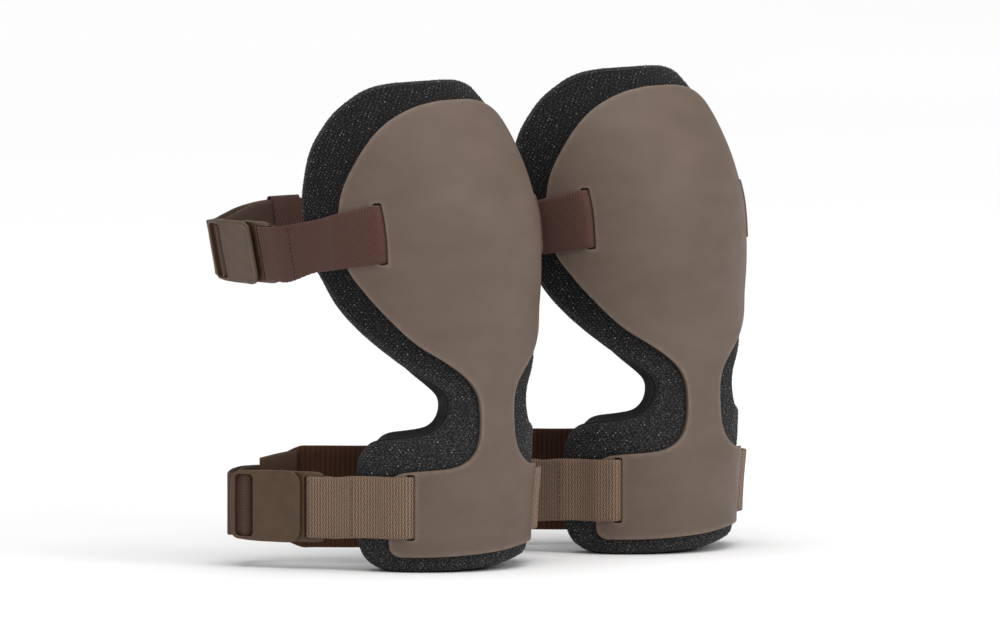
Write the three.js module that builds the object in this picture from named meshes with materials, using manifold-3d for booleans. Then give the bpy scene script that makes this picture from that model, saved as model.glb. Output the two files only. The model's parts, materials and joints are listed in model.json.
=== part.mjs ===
// A pair of strap-on knee pads standing on their foot bands.
//
// Each pad is a stack of curved sheets: a moulded rubber outer shell, a mesh fabric cover,
// a thick foam core and a brushed inner liner. Two strap loops run from slots in the shell,
// round the back of the leg, and close on two-part clip buckles at the wearer's outer side.
// Units are millimetres, +Z is up and the shells face -Y.
import * as THREE from 'three';
import { mergeVertices } from 'three/addons/utils/BufferGeometryUtils.js';
import Module from 'manifold-3d';

const wasm = await Module();
wasm.setup();

const { Vector3, Matrix4 } = THREE;
const radians = THREE.MathUtils.degToRad;

// ---------------------------------------------------------------- driving dimensions

const PAD_OFFSET = [181.7, 4.3];  // from the left pad to the right pad, along X and Y
const WEBBING_WIDTH = 38;
const WEBBING_THICKNESS = 1.3;
const CALF_BAND_WIDTH = 63;
const GATHERED_WIDTH = 34;        // of the webbing where it passes through the upper buckle
const CALF_BAND_THICKNESS = 2.2;
const TOUCH_GAP = 0.3;            // between neighbouring solids
const COVER_TO_TAB = 1.3;         // from the cover to the strap's sewn tab under the shell

// Distances along the outward normal, measured from the front of the mesh cover.
const SHELL_FRONT = 4.1;
const SHELL_BACK = 1;
const COVER_BACK = -0.8;
const FOAM_FRONT = -1.25;
const FOAM_BACK = -20.5;
const LINER_FRONT = -20.85;
const LINER_BACK = -22;
const SIDE_FLARE = 4.5;           // how much wider the foam is at its back than at its front

// The pad's centre line from the foot up, as [height along the line, front Y, Z, radius].
// Every level is a circular arc of that radius, curving back round the leg.
const SPINE = [
  [0, 3, 0, 62], [40, 3, 40, 62], [85, 3, 85, 63], [115, 4, 115, 68], [150, 4, 150, 78],
  [185, 3, 185, 82], [215, 5, 215, 82], [246, 14, 245, 80], [269, 24, 265, 77],
  [291, 36, 284, 70], [308, 47, 297, 62], [331, 64, 313, 50],
];
const SIDE_DROOP = 0.35;          // share of the centre line's lean that the sides follow

// Half widths, measured along the arc, as [height along the centre line, half width].
const PAD_OUTLINE = [
  [0, 66], [2, 79], [5, 88], [9, 93], [14, 96], [24, 98.5], [56, 98.5], [67, 97.8], [73, 95.5],
  [78.5, 90], [81.5, 80], [83, 68], [84.5, 56], [86.5, 46], [92, 37], [99, 32.3], [106, 31],
  [112, 33.5], [118, 42], [125, 55], [138, 75.5], [152, 94.5], [166, 110], [182, 121], [197, 131],
  [212, 134], [228, 134], [244, 130.3], [264, 120.5], [282, 107.3], [297, 92], [307, 80],
  [314.5, 67.5], [319.5, 52], [322.5, 29],
];
const SHELL_OUTLINE = [
  [10.5, 64], [13, 68.5], [17.5, 70], [50, 70], [58, 68.5], [62, 63.5], [63.6, 53], [64.3, 43],
  [65.2, 33], [67.5, 25], [72, 18.5], [78, 14.6], [86, 12.6], [96, 12], [106, 12.6], [114, 15.5],
  [122, 22], [130, 32.5], [144, 54], [160, 71.5], [174, 85], [190, 97], [206, 102], [220, 102],
  [236, 98], [250, 91], [265, 79.5], [279, 65.5], [289, 52], [295, 39.5], [299, 26.5], [301, 12],
];

// Strap slots in the shell: arc distance from the middle, and height along the centre line.
const UPPER_SLOT = { arc: 73.5, height: 214.5 };
const LOWER_SLOT = { arc: 55.7, height: 41 };
const SLOT_LENGTH = 42;
const SLOT_WIDTH = 8;

// Clip buckle, in its own frame: X across the strap, Y along it from the shell towards the
// free end, Z out of the loop. Z = 0 is the receiver's inner face.
const RECEIVER = {
  neck: 19.5, halfWidth: 22, thickness: 3, end: 25.5,
  slotStart: 9.5, slotEnd: 12.9, slotHalf: 19.5, windowStart: 20, windowHalf: 19,
};
const HOOK_BAR = { along: 27, out: 1.5, radius: 1.9 };
const HOOK = { inner: 2.3, outer: 4.2, halfWidth: 17, from: 60, to: 300 };
const CLIP = {
  start: 14, end: 63, halfWidth: 22.5, farHalf: 21.4, back: 3.8, front: 7.4, corner: 8,
  slotStart: 45.5, slotEnd: 58, slotHalf: 19.5, lipBevel: 13,
};
const WEB_BAR = { along: 51.7, out: 1.9, radius: 2.2, half: 21, cheek: 2.2 };
const STRAP_OUT = RECEIVER.thickness + TOUCH_GAP + WEBBING_THICKNESS / 2;   // strap over the slot bar

// Where each buckle sits on the left pad: the strap's centre as it meets the receiver, the
// direction of the strap there, and how far its upper edge leans out of the loop, in degrees.
const UPPER_FLARE = 12;           // the upper loop widens upwards, as a thigh does
const UPPER_BREADTH = 0.9;        // of the upper buckle, as a share of the lower one's
const UPPER_BUCKLE = {
  at: new Vector3(-86.3, 115.8, 196.7),
  heading: new Vector3(0.11, 0.994, -0.006),
  flare: UPPER_FLARE,
};
const LOWER_BUCKLE = {
  at: new Vector3(-75.5, 80, 39.2),
  heading: new Vector3(-0.41, 0.912, 0),
  flare: 0,
};

// Free stretches of the bands behind the leg, from the shell's right side to the sleeve.
const UPPER_BACK_ROUTE = [
  [85.4, 91.5, 203], [83, 104, 203], [78, 123, 203], [67.5, 147, 203], [49, 170.5, 203.2],
  [28.5, 187.2, 203.5], [12, 193.8, 203.5], [4, 195, 203.5],
];
const CALF_BAND_ROUTE = [
  [65, 76, 40], [48, 86, 40], [22, 99, 40], [-8, 114, 40], [-38, 141.5, 40],
];
const SLEEVE = {
  upperWidth: 43, upperDepth: 7, lowerWidth: 50, lowerDepth: 7.2, wall: 0.9, boreWidth: 39.4,
};
const UPPER_SLEEVE_ROUTE = [[12, 194, 203.5], [1, 195.3, 203.5], [-11, 195.3, 203.5]];
const LOWER_SLEEVE_ROUTE = [[-39.5, 143.2, 40.3], [-48, 150.7, 40.5], [-57, 158.3, 40.5]];

const COLOURS = {
  shell: 0x6f6158, cover: 0x242425, foam: 0x1b1b1c, liner: 0x2a2a2b,
  strap: 0x50403a, ribbed: 0x5b493b, band: 0x3a2723, plastic: 0x53423a,
};

// ---------------------------------------------------------------- helpers

// Smooth value at t through rows of [t, value, ...], with no overshoot between rows.
function valueAt(rows, t, column = 1) {
  const last = rows.length - 1;
  if (t <= rows[0][0]) return rows[0][column];
  if (t >= rows[last][0]) return rows[last][column];
  const slope = (i) => (rows[i + 1][column] - rows[i][column]) / (rows[i + 1][0] - rows[i][0]);
  const tangent = (i) => {
    if (i === 0) return slope(0);
    if (i === last) return slope(last - 1);
    const before = slope(i - 1);
    const after = slope(i);
    return before * after <= 0 ? 0 : (2 * before * after) / (before + after);
  };
  let i = 0;
  while (t > rows[i + 1][0]) i += 1;
  const span = rows[i + 1][0] - rows[i][0];
  const u = (t - rows[i][0]) / span;
  const u2 = u * u;
  const u3 = u2 * u;
  return (2 * u3 - 3 * u2 + 1) * rows[i][column] + (u3 - 2 * u2 + u) * span * tangent(i)
    + (3 * u2 - 2 * u3) * rows[i + 1][column] + (u3 - u2) * span * tangent(i + 1);
}

// Point on the front of the mesh cover: arc distance from the middle, height up the centre line.
function coverPoint(arc, height) {
  const frontY = valueAt(SPINE, height, 1);
  const z = valueAt(SPINE, height, 2);
  const radius = valueAt(SPINE, height, 3);
  const step = 3;
  const lean = SIDE_DROOP * Math.atan2(
    valueAt(SPINE, height + step, 1) - valueAt(SPINE, height - step, 1),
    valueAt(SPINE, height + step, 2) - valueAt(SPINE, height - step, 2),
  );
  const angle = arc / radius;
  const back = radius * (1 - Math.cos(angle));
  return new Vector3(
    radius * Math.sin(angle), frontY + back * Math.cos(lean), z - back * Math.sin(lean));
}

// The same point moved out along the surface normal.
function padPoint(arc, height, out) {
  const step = 0.5;
  const low = Math.max(height - step, 0);
  const high = Math.min(height + step, SPINE[SPINE.length - 1][0]);
  const across = coverPoint(arc + step, height).sub(coverPoint(arc - step, height));
  const up = coverPoint(arc, high).sub(coverPoint(arc, low));
  return coverPoint(arc, height).addScaledVector(across.cross(up).normalize(), out);
}

function geometryFrom(points, triangles) {
  const flat = points.flatMap((p) => [p.x, p.y, p.z]);
  const geometry = new THREE.BufferGeometry();
  geometry.setAttribute('position', new THREE.Float32BufferAttribute(flat, 3));
  geometry.setIndex(triangles.flat());
  return facingOut(geometry);
}

function signedVolume(geometry) {
  const at = geometry.getAttribute('position');
  const index = geometry.index.array;
  const corner = (i) => new Vector3().fromBufferAttribute(at, index[i]);
  let sum = 0;
  for (let i = 0; i < index.length; i += 3) {
    sum += corner(i).dot(corner(i + 1).cross(corner(i + 2)));
  }
  return sum / 6;
}

function facingOut(geometry) {
  if (signedVolume(geometry) > 0) return geometry;
  const index = geometry.index.array;
  for (let i = 0; i < index.length; i += 3) {
    [index[i + 1], index[i + 2]] = [index[i + 2], index[i + 1]];
  }
  return geometry;
}

// Two grids of points, front and back, joined round their edge into one closed sheet.
function closedSheet(front, back) {
  const rows = front.length;
  const columns = front[0].length;
  const points = [...front.flat(), ...back.flat()];
  const id = (side, i, j) => side * rows * columns + i * columns + j;
  const triangles = [];
  for (let i = 0; i < rows - 1; i += 1) {
    for (let j = 0; j < columns - 1; j += 1) {
      for (const side of [0, 1]) {
        const a = id(side, i, j);
        const b = id(side, i, j + 1);
        const c = id(side, i + 1, j + 1);
        const d = id(side, i + 1, j);
        triangles.push(side ? [a, c, b] : [a, b, c], side ? [a, d, c] : [a, c, d]);
      }
    }
  }
  const rim = [];
  for (let j = 0; j < columns - 1; j += 1) rim.push([0, j]);
  for (let i = 0; i < rows - 1; i += 1) rim.push([i, columns - 1]);
  for (let j = columns - 1; j > 0; j -= 1) rim.push([rows - 1, j]);
  for (let i = rows - 1; i > 0; i -= 1) rim.push([i, 0]);
  rim.forEach(([i, j], k) => {
    const [m, n] = rim[(k + 1) % rim.length];
    triangles.push([id(0, m, n), id(0, i, j), id(1, i, j)], [id(0, m, n), id(1, i, j), id(1, m, n)]);
  });
  return geometryFrom(points, triangles);
}

// Levels at which an outline is sampled: its own rows, no closer together than a least step.
function levelsOf(outline, leastStep) {
  const top = outline[outline.length - 1][0];
  const levels = [outline[0][0]];
  outline.forEach(([height]) => {
    const clearBelow = height - levels[levels.length - 1] >= leastStep;
    const clearAbove = top - height >= leastStep;
    if (clearBelow && clearAbove) levels.push(height);
  });
  return [...levels, top];
}

// One curved sheet of the pad. The back face may be wider than the front by a flare.
function padSheet({ outline, columns, step, front, back, frontFlare = 0, backFlare = 0 }) {
  const grid = (out, flare) => levelsOf(outline, step).map((height) => {
    const half = valueAt(outline, height) + flare;
    return Array.from({ length: columns + 1 }, (_, j) => {
      return padPoint(half * ((2 * j) / columns - 1), height, out);
    });
  });
  return closedSheet(grid(front, frontFlare), grid(back, backFlare));
}

// A curved block on the pad's surface, for cutting slots and pockets.
function padBlock(arcs, heights, outs) {
  const pieces = 3;
  const lerp = THREE.MathUtils.lerp;
  const grid = (out) => Array.from({ length: pieces + 1 }, (_, i) => {
    const height = lerp(heights[0], heights[1], i / pieces);
    return [0, 0.5, 1].map((share) => padPoint(lerp(arcs[0], arcs[1], share), height, out));
  });
  return closedSheet(grid(outs[1]), grid(outs[0]));
}

// Cross-sections of four points each, joined into one closed ribbon.
function ribbon(sections) {
  const points = sections.flat();
  const triangles = [[0, 1, 2], [0, 2, 3]];
  for (let s = 0; s < sections.length - 1; s += 1) {
    for (let k = 0; k < 4; k += 1) {
      const a = 4 * s + k;
      const b = 4 * s + ((k + 1) % 4);
      triangles.push([a, a + 4, b + 4], [a, b + 4, b]);
    }
  }
  const end = 4 * (sections.length - 1);
  triangles.push([end, end + 2, end + 1], [end, end + 3, end + 2]);
  return geometryFrom(points, triangles);
}

// Cross-section of a strap lying on the pad, its middle at a given height and distance out.
function sectionOnPad(arc, height, out, width = WEBBING_WIDTH, thickness = WEBBING_THICKNESS) {
  const half = width / 2;
  return [
    padPoint(arc, height + half, out + thickness), padPoint(arc, height - half, out + thickness),
    padPoint(arc, height - half, out), padPoint(arc, height + half, out),
  ];
}

// Cross-section of a strap in the open, its upper edge leaning out of the loop.
function sectionInAir(centre, along, width, thickness, lean) {
  const outward = new Vector3().crossVectors(along, new Vector3(0, 0, 1)).normalize();
  const upright = new Vector3().crossVectors(outward, along).normalize();
  const across = upright.multiplyScalar(Math.cos(lean)).addScaledVector(outward, Math.sin(lean));
  const out = new Vector3().crossVectors(along, across).normalize();
  const corner = (w, n) => centre.clone().addScaledVector(across, w * width / 2)
    .addScaledVector(out, n * thickness / 2);
  return [corner(1, 1), corner(-1, 1), corner(-1, -1), corner(1, -1)];
}

// Sections along a smooth route behind the leg, from the right side to the left. The lean of
// the upper edge grows over the first part of the route, or is full from the start.
function sectionsAlong(route, steps, width, thickness, flare = 0, growth = 0) {
  const curve = new THREE.CatmullRomCurve3(route.map((p) => new Vector3(...p)), false, 'centripetal');
  return Array.from({ length: steps + 1 }, (_, i) => {
    const u = i / steps;
    const lean = radians(flare) * (growth ? Math.min(u / growth, 1) : 1);
    return sectionInAir(curve.getPoint(u), curve.getTangent(u), width, thickness, lean);
  });
}

function solidOf(geometry) {
  const bare = geometry.clone();
  bare.deleteAttribute('normal');
  bare.deleteAttribute('uv');
  const merged = mergeVertices(bare, 1e-4);
  return new wasm.Manifold(new wasm.Mesh({
    numProp: 3,
    vertProperties: new Float32Array(merged.getAttribute('position').array),
    triVerts: new Uint32Array(merged.index.array),
  }));
}

function geometryOf(solid) {
  const { vertProperties, triVerts } = solid.getMesh();
  const geometry = new THREE.BufferGeometry();
  geometry.setAttribute('position', new THREE.Float32BufferAttribute(vertProperties, 3));
  geometry.setIndex(new THREE.Uint32BufferAttribute(triVerts, 1));
  return geometry;
}

function cut(geometry, ...tools) {
  const start = solidOf(geometry);
  return geometryOf(tools.reduce((solid, tool) => solid.subtract(solidOf(tool)), start));
}

function join(geometry, ...others) {
  const start = solidOf(geometry);
  return geometryOf(others.reduce((solid, other) => solid.add(solidOf(other)), start));
}

function boxBetween(low, high) {
  const size = high.map((value, i) => value - low[i]);
  const box = new THREE.BoxGeometry(...size);
  return box.translate(...high.map((value, i) => (value + low[i]) / 2));
}

function roundedRectangle(shape, x0, y0, x1, y1, r) {
  shape.moveTo(x0 + r, y0);
  shape.lineTo(x1 - r, y0);
  shape.quadraticCurveTo(x1, y0, x1, y0 + r);
  shape.lineTo(x1, y1 - r);
  shape.quadraticCurveTo(x1, y1, x1 - r, y1);
  shape.lineTo(x0 + r, y1);
  shape.quadraticCurveTo(x0, y1, x0, y1 - r);
  shape.lineTo(x0, y0 + r);
  shape.quadraticCurveTo(x0, y0, x0 + r, y0);
  return shape;
}

function plate(shape, back, front, curveSegments = 3) {
  const geometry = new THREE.ExtrudeGeometry(
    shape, { depth: front - back, bevelEnabled: false, curveSegments });
  return geometry.translate(0, 0, back);
}

// A bar running across the strap.
function crossBar({ along, out, radius }, half, sides = 14) {
  const bar = new THREE.CylinderGeometry(radius, radius, 2 * half, sides);
  return bar.rotateZ(Math.PI / 2).translate(0, along, out);
}

// ---------------------------------------------------------------- pad layers

function outerShell() {
  const sheet = padSheet({
    outline: SHELL_OUTLINE, columns: 12, step: 1, front: SHELL_FRONT, back: SHELL_BACK,
  });
  const overTab = COVER_TO_TAB + WEBBING_THICKNESS + 0.6;
  const through = 2 * SHELL_FRONT;
  const below = -2;
  const tabRoom = 9;              // hidden pocket under the shell, for the strap's sewn tab
  const cuts = [];
  for (const side of [-1, 1]) {
    for (const slot of [UPPER_SLOT, LOWER_SLOT]) {
      const heights = [slot.height - SLOT_LENGTH / 2, slot.height + SLOT_LENGTH / 2];
      const near = side * (slot.arc - SLOT_WIDTH / 2);
      const far = side * (slot.arc + SLOT_WIDTH / 2);
      cuts.push(padBlock([near, far], heights, [below, through]));
      cuts.push(padBlock([near - side * tabRoom, side * slot.arc], heights, [below, overTab]));
    }
  }
  return cut(sheet, ...cuts);
}

const meshCover = () => padSheet({
  outline: PAD_OUTLINE, columns: 8, step: 7, front: 0, back: COVER_BACK,
});

const foamCore = () => padSheet({
  outline: PAD_OUTLINE, columns: 8, step: 7, front: FOAM_FRONT, back: FOAM_BACK, backFlare: SIDE_FLARE,
});

const innerLiner = () => padSheet({
  outline: PAD_OUTLINE, columns: 8, step: 7, front: LINER_FRONT, back: LINER_BACK,
  frontFlare: SIDE_FLARE, backFlare: SIDE_FLARE,
});

// ---------------------------------------------------------------- clip buckle

function receiver() {
  const r = RECEIVER;
  const shape = new THREE.Shape();
  shape.moveTo(-r.neck, 0);
  shape.lineTo(r.neck, 0);
  shape.quadraticCurveTo(r.halfWidth, 2, r.halfWidth, 9);
  shape.lineTo(r.halfWidth, r.end);
  shape.lineTo(r.windowHalf, r.end);
  shape.lineTo(r.windowHalf, r.windowStart);
  shape.lineTo(-r.windowHalf, r.windowStart);
  shape.lineTo(-r.windowHalf, r.end);
  shape.lineTo(-r.halfWidth, r.end);
  shape.lineTo(-r.halfWidth, 9);
  shape.quadraticCurveTo(-r.halfWidth, 2, -r.neck, 0);
  shape.holes.push(roundedRectangle(
    new THREE.Path(), -r.slotHalf, r.slotStart, r.slotHalf, r.slotEnd, 0.8));
  return join(plate(shape, 0, r.thickness), crossBar(HOOK_BAR, r.halfWidth));
}

// The hook's profile lies in the plane of the strap's run and the way out of the loop.
function hook() {
  const shape = new THREE.Shape();
  shape.absarc(0, 0, HOOK.outer, radians(HOOK.from), radians(HOOK.to), false);
  shape.absarc(0, 0, HOOK.inner, radians(HOOK.to), radians(HOOK.from), true);
  const body = new THREE.ExtrudeGeometry(
    shape, { depth: 2 * HOOK.halfWidth, bevelEnabled: false, curveSegments: 9 });
  const place = new Matrix4().makeBasis(
    new Vector3(0, 1, 0), new Vector3(0, 0, 1), new Vector3(1, 0, 0));
  body.applyMatrix4(place);
  return body.translate(-HOOK.halfWidth, HOOK_BAR.along, HOOK_BAR.out);
}

function clip() {
  const c = CLIP;
  const shoulder = c.end - c.corner + 2;
  const shape = new THREE.Shape();
  shape.moveTo(c.corner - c.halfWidth, c.start);
  shape.lineTo(c.halfWidth - c.corner, c.start);
  shape.quadraticCurveTo(c.halfWidth, c.start, c.halfWidth, c.start + c.corner);
  shape.lineTo(c.halfWidth, c.slotStart - 5);
  shape.lineTo(c.farHalf, shoulder);
  shape.quadraticCurveTo(c.farHalf, c.end, c.farHalf - c.corner, c.end);
  shape.lineTo(c.corner - c.farHalf, c.end);
  shape.quadraticCurveTo(-c.farHalf, c.end, -c.farHalf, shoulder);
  shape.lineTo(-c.halfWidth, c.slotStart - 5);
  shape.lineTo(-c.halfWidth, c.start + c.corner);
  shape.quadraticCurveTo(-c.halfWidth, c.start, c.corner - c.halfWidth, c.start);
  shape.holes.push(roundedRectangle(
    new THREE.Path(), -c.slotHalf, c.slotStart, c.slotHalf, c.slotEnd, 2));
  const reach = 14;               // size of the block that bevels the lip
  const bevel = new THREE.BoxGeometry(2 * c.halfWidth + 2, reach, reach);
  bevel.translate(0, -reach / 2, -reach / 2);
  bevel.rotateX(-radians(c.lipBevel));
  bevel.translate(0, HOOK_BAR.along - HOOK.inner, c.back);
  const cheekHalf = 3.5;
  const cheeks = [[-WEB_BAR.half, -c.slotHalf], [c.slotHalf, WEB_BAR.half]].map(([from, to]) => boxBetween(
    [from, WEB_BAR.along - cheekHalf, WEB_BAR.out - WEB_BAR.cheek],
    [to, WEB_BAR.along + cheekHalf, c.back + 1],
  ));
  const flat = cut(plate(shape, c.back, c.front), bevel);
  return join(flat, hook(), ...cheeks, crossBar(WEB_BAR, WEB_BAR.half - 0.5));
}

// Webbing doubled round the clip's recessed bar, both layers ending in the far band's sleeve.
function clipWebbing(placement, route, flare, width) {
  const t = WEBBING_THICKNESS;
  const turn = WEB_BAR.radius + TOUCH_GAP + t / 2;
  const world = (along, out) => new Vector3(0, along, out).applyMatrix4(placement);
  const up = new Vector3(1, 0, 0).transformDirection(placement);
  const outer = route.outer.map((p) => new Vector3(...p));
  const inner = route.inner.map((p) => new Vector3(...p));
  const path = [...outer, world(64, 1.9), world(59, 2.2), world(55.9, 2.9)];
  for (let angle = 75; angle <= 285; angle += 35) {
    path.push(world(
      WEB_BAR.along + turn * Math.cos(radians(angle)), WEB_BAR.out + turn * Math.sin(radians(angle))));
  }
  path.push(world(55, -1.3), world(58.5, -1.5), ...inner);
  const middle = (path.length - 1) / 2;
  const flatLayers = 3;           // sections at each end that lie as the sleeve does
  const atSleeve = new Vector3(0, Math.sin(radians(flare)), Math.cos(radians(flare)));
  return ribbon(path.map((point, i) => {
    const along = path[Math.min(i + 1, path.length - 1)].clone().sub(path[Math.max(i - 1, 0)]);
    const fromEnd = middle - Math.abs(i - middle);
    const turned = Math.min(Math.max(fromEnd - flatLayers + 1, 0) / 2, 1);
    const across = atSleeve.clone().lerp(up, turned);
    return sectionAcross(point, along, across, WEBBING_WIDTH + turned * (width - WEBBING_WIDTH), t);
  }));
}

// Cross-section whose width runs along a given direction.
function sectionAcross(centre, along, across, width, thickness) {
  const out = new Vector3().crossVectors(across, along).normalize();
  const side = new Vector3().crossVectors(along, out).normalize();
  const corner = (w, n) => centre.clone().addScaledVector(side, w * width / 2)
    .addScaledVector(out, n * thickness / 2);
  return [corner(1, 1), corner(-1, 1), corner(-1, -1), corner(1, -1)];
}

// Placement of a buckle: its strap meets the receiver with its middle at the given point.
function bucklePlacement({ at, heading, flare }) {
  const along = heading.clone().normalize();
  const level = new Vector3().crossVectors(new Vector3(0, 0, 1), along).normalize();
  const upright = new Vector3().crossVectors(along, level).normalize();
  const lean = radians(flare);
  const across = upright.multiplyScalar(Math.cos(lean)).addScaledVector(level, Math.sin(lean));
  const out = new Vector3().crossVectors(across, along).normalize();
  const origin = at.clone().addScaledVector(out, -STRAP_OUT);
  return new Matrix4().makeBasis(across, along, out).setPosition(origin);
}

// ---------------------------------------------------------------- straps and bands

// From a tab under the shell, out through the slot and round the pad's side.
function slotStretch(slot, side, fall, arcs, width = WEBBING_WIDTH) {
  const start = [
    [slot.arc - 11, COVER_TO_TAB], [slot.arc - 3.2, COVER_TO_TAB],
    [slot.arc + 1.2, SHELL_FRONT], [slot.arc + 4.5, SHELL_FRONT + 1.7],
  ];
  return [...start, ...arcs].map(([arc, out]) => {
    const height = slot.height - fall * Math.max(arc - slot.arc, 0);
    return sectionOnPad(side * arc, height, out, width);
  });
}

// The near strap runs to the receiver, folds round its slot bar and is sewn back on itself.
function nearStrap(slot, arcs, fall, between, placement, gathered = WEBBING_WIDTH) {
  const t = WEBBING_THICKNESS;
  const up = new Vector3(1, 0, 0).transformDirection(placement);
  const local = [
    [-18, STRAP_OUT], [0, STRAP_OUT], [8, STRAP_OUT], [9.9, STRAP_OUT], [10.8, 3],
    [10.8, 0], [9.9, -0.95], [8, -1], [0, -1], [-6, STRAP_OUT - t - 1.2],
    [-12, STRAP_OUT - t - TOUCH_GAP], [-21, STRAP_OUT - t - TOUCH_GAP],
  ].map(([along, out]) => new Vector3(0, along, out).applyMatrix4(placement));
  const path = [...between.map((p) => new Vector3(...p)), ...local];
  const free = path.map((point, i) => {
    const along = path[Math.min(i + 1, path.length - 1)].clone().sub(path[Math.max(i - 1, 0)]);
    const width = i <= between.length ? WEBBING_WIDTH : gathered;
    return sectionAcross(point, along, up, width, t);
  });
  return ribbon([...slotStretch(slot, -1, fall, arcs), ...free]);
}

// A flat sewn tube round the ends of the far band and of the doubled clip webbing.
function sleeve(route, width, depth, flare) {
  const outside = ribbon(sectionsAlong(route, 3, width, depth, flare));
  const overrun = 4;
  const beyond = (from, to) => new Vector3(...to).sub(new Vector3(...from)).setLength(overrun)
    .add(new Vector3(...to)).toArray();
  const last = route.length - 1;
  const through = [beyond(route[1], route[0]), ...route, beyond(route[last - 1], route[last])];
  const bore = sectionsAlong(through, 6, SLEEVE.boreWidth, depth - 2 * SLEEVE.wall, flare);
  return cut(outside, ribbon(bore));
}

const upperPlacement = bucklePlacement(UPPER_BUCKLE);
const upperNarrowed = upperPlacement.clone().scale(new Vector3(UPPER_BREADTH, 1, 1));
const lowerPlacement = bucklePlacement(LOWER_BUCKLE);

const UPPER_SIDE = [[90, 5.6], [104, 5.4], [113, 4.2], [121, 2.6], [128, 1.8]];
const LOWER_SIDE = [[66, 4.6], [72.5, 4.5], [77, 4.2]];
const UPPER_FALL = 0.155;         // of the strap's height, for each millimetre past the slot
const LOWER_FALL = 0.02;
const LOWER_RIGHT_SIDE = [[64, 7], [70, 8.3], [77, 8], [85, 5.8]];

function upperNearStrap() {
  return nearStrap(UPPER_SLOT, UPPER_SIDE, UPPER_FALL, [], upperPlacement, GATHERED_WIDTH);
}

function lowerNearStrap() {
  return nearStrap(LOWER_SLOT, LOWER_SIDE, LOWER_FALL, [[-68.6, 60, 40.3]], lowerPlacement);
}

function upperFarBand() {
  const onPad = slotStretch(UPPER_SLOT, 1, UPPER_FALL, UPPER_SIDE);
  const free = sectionsAlong(
    UPPER_BACK_ROUTE, 14, WEBBING_WIDTH, WEBBING_THICKNESS, UPPER_FLARE, 0.35);
  return ribbon([...onPad, ...free]);
}

function lowerFarStrap() {
  const onPad = slotStretch(LOWER_SLOT, 1, LOWER_FALL, LOWER_RIGHT_SIDE);
  const lap = [[68.6, 68, 40], [67.6, 77.6, 40], [59.5, 82.6, 40], [50.4, 87.2, 40]];
  const free = sectionsAlong(lap, 5, WEBBING_WIDTH, WEBBING_THICKNESS);
  return ribbon([...onPad, ...free]);
}

const calfBand = () => ribbon(
  sectionsAlong(CALF_BAND_ROUTE, 12, CALF_BAND_WIDTH, CALF_BAND_THICKNESS));

// ---------------------------------------------------------------- assembly

function material(colour, roughness) {
  return new THREE.MeshStandardMaterial({ color: colour, roughness, metalness: 0 });
}

const UPPER_WEB_ROUTE = {
  outer: [
    [-2, 196.3, 203.5], [-14, 196.4, 203.2], [-32, 197.2, 200.5], [-50, 195.2, 197.4],
    [-64, 190.3, 196.2], [-73, 184.8, 196.4],
  ],
  inner: [
    [-67, 180.3, 196.5], [-55, 185, 196.6], [-42, 188.6, 198], [-14, 194.1, 203.2],
    [-2, 194.2, 203.5],
  ],
};
const LOWER_WEB_ROUTE = {
  outer: [
    [-48.8, 153, 40.5], [-57.5, 160.6, 40.5], [-67, 163, 40.3], [-77, 159.8, 39.8],
    [-86.5, 153.5, 39.4], [-94.5, 146, 39.2],
  ],
  inner: [
    [-91.5, 141.5, 39.2], [-84, 148.5, 39.5], [-74, 155, 40], [-65, 158.2, 40.4],
    [-57.6, 157.2, 40.5], [-48.8, 150, 40.5],
  ],
};

function padPieces() {
  const plastic = material(COLOURS.plastic, 0.45);
  const strap = material(COLOURS.strap, 0.85);
  const ribbed = material(COLOURS.ribbed, 0.9);
  const band = material(COLOURS.band, 0.9);
  return {
    outer_shell: [outerShell(), material(COLOURS.shell, 0.6)],
    mesh_cover: [meshCover(), material(COLOURS.cover, 0.9)],
    foam_core: [foamCore(), material(COLOURS.foam, 0.85)],
    inner_liner: [innerLiner(), material(COLOURS.liner, 0.95)],
    upper_near_strap: [upperNearStrap(), strap],
    upper_receiver: [receiver().applyMatrix4(upperNarrowed), plastic],
    upper_clip: [clip().applyMatrix4(upperNarrowed), plastic],
    upper_clip_webbing: [clipWebbing(upperPlacement, UPPER_WEB_ROUTE, UPPER_FLARE, GATHERED_WIDTH), strap],
    upper_far_band: [upperFarBand(), strap],
    upper_sleeve: [
      sleeve(UPPER_SLEEVE_ROUTE, SLEEVE.upperWidth, SLEEVE.upperDepth, UPPER_FLARE), strap,
    ],
    lower_near_strap: [lowerNearStrap(), ribbed],
    lower_receiver: [receiver().applyMatrix4(lowerPlacement), plastic],
    lower_clip: [clip().applyMatrix4(lowerPlacement), plastic],
    lower_clip_webbing: [clipWebbing(lowerPlacement, LOWER_WEB_ROUTE, 0, WEBBING_WIDTH), strap],
    lower_far_strap: [lowerFarStrap(), ribbed],
    lower_calf_band: [calfBand(), band],
    lower_sleeve: [sleeve(LOWER_SLEEVE_ROUTE, SLEEVE.lowerWidth, SLEEVE.lowerDepth, 0), band],
  };
}

const pair = new THREE.Group();
pair.name = 'knee_pads';
const pieces = padPieces();
for (const [side, offset] of [['left', [0, 0]], ['right', PAD_OFFSET]]) {
  const pad = new THREE.Group();
  pad.position.set(...offset, 0);
  for (const [name, [geometry, finish]] of Object.entries(pieces)) {
    const mesh = new THREE.Mesh(geometry, finish.clone());
    mesh.name = `${side}_${name}`;
    pad.add(mesh);
  }
  pair.add(pad);
}

// The origin is under the middle of the pair's outer box, on the surface it stands on.
pair.updateMatrixWorld(true);
const outerBox = new THREE.Box3().setFromObject(pair, true);
const middle = outerBox.getCenter(new Vector3());
pair.position.set(-middle.x, -middle.y, -outerBox.min.z);

export default pair;
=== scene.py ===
"""Looks of a pair of knee pads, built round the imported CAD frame. Sizes are in millimetres."""

import json
import math

import bmesh
import bpy
import numpy as np
from mathutils import Matrix, Vector
from mathutils.geometry import delaunay_2d_cdt

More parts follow.
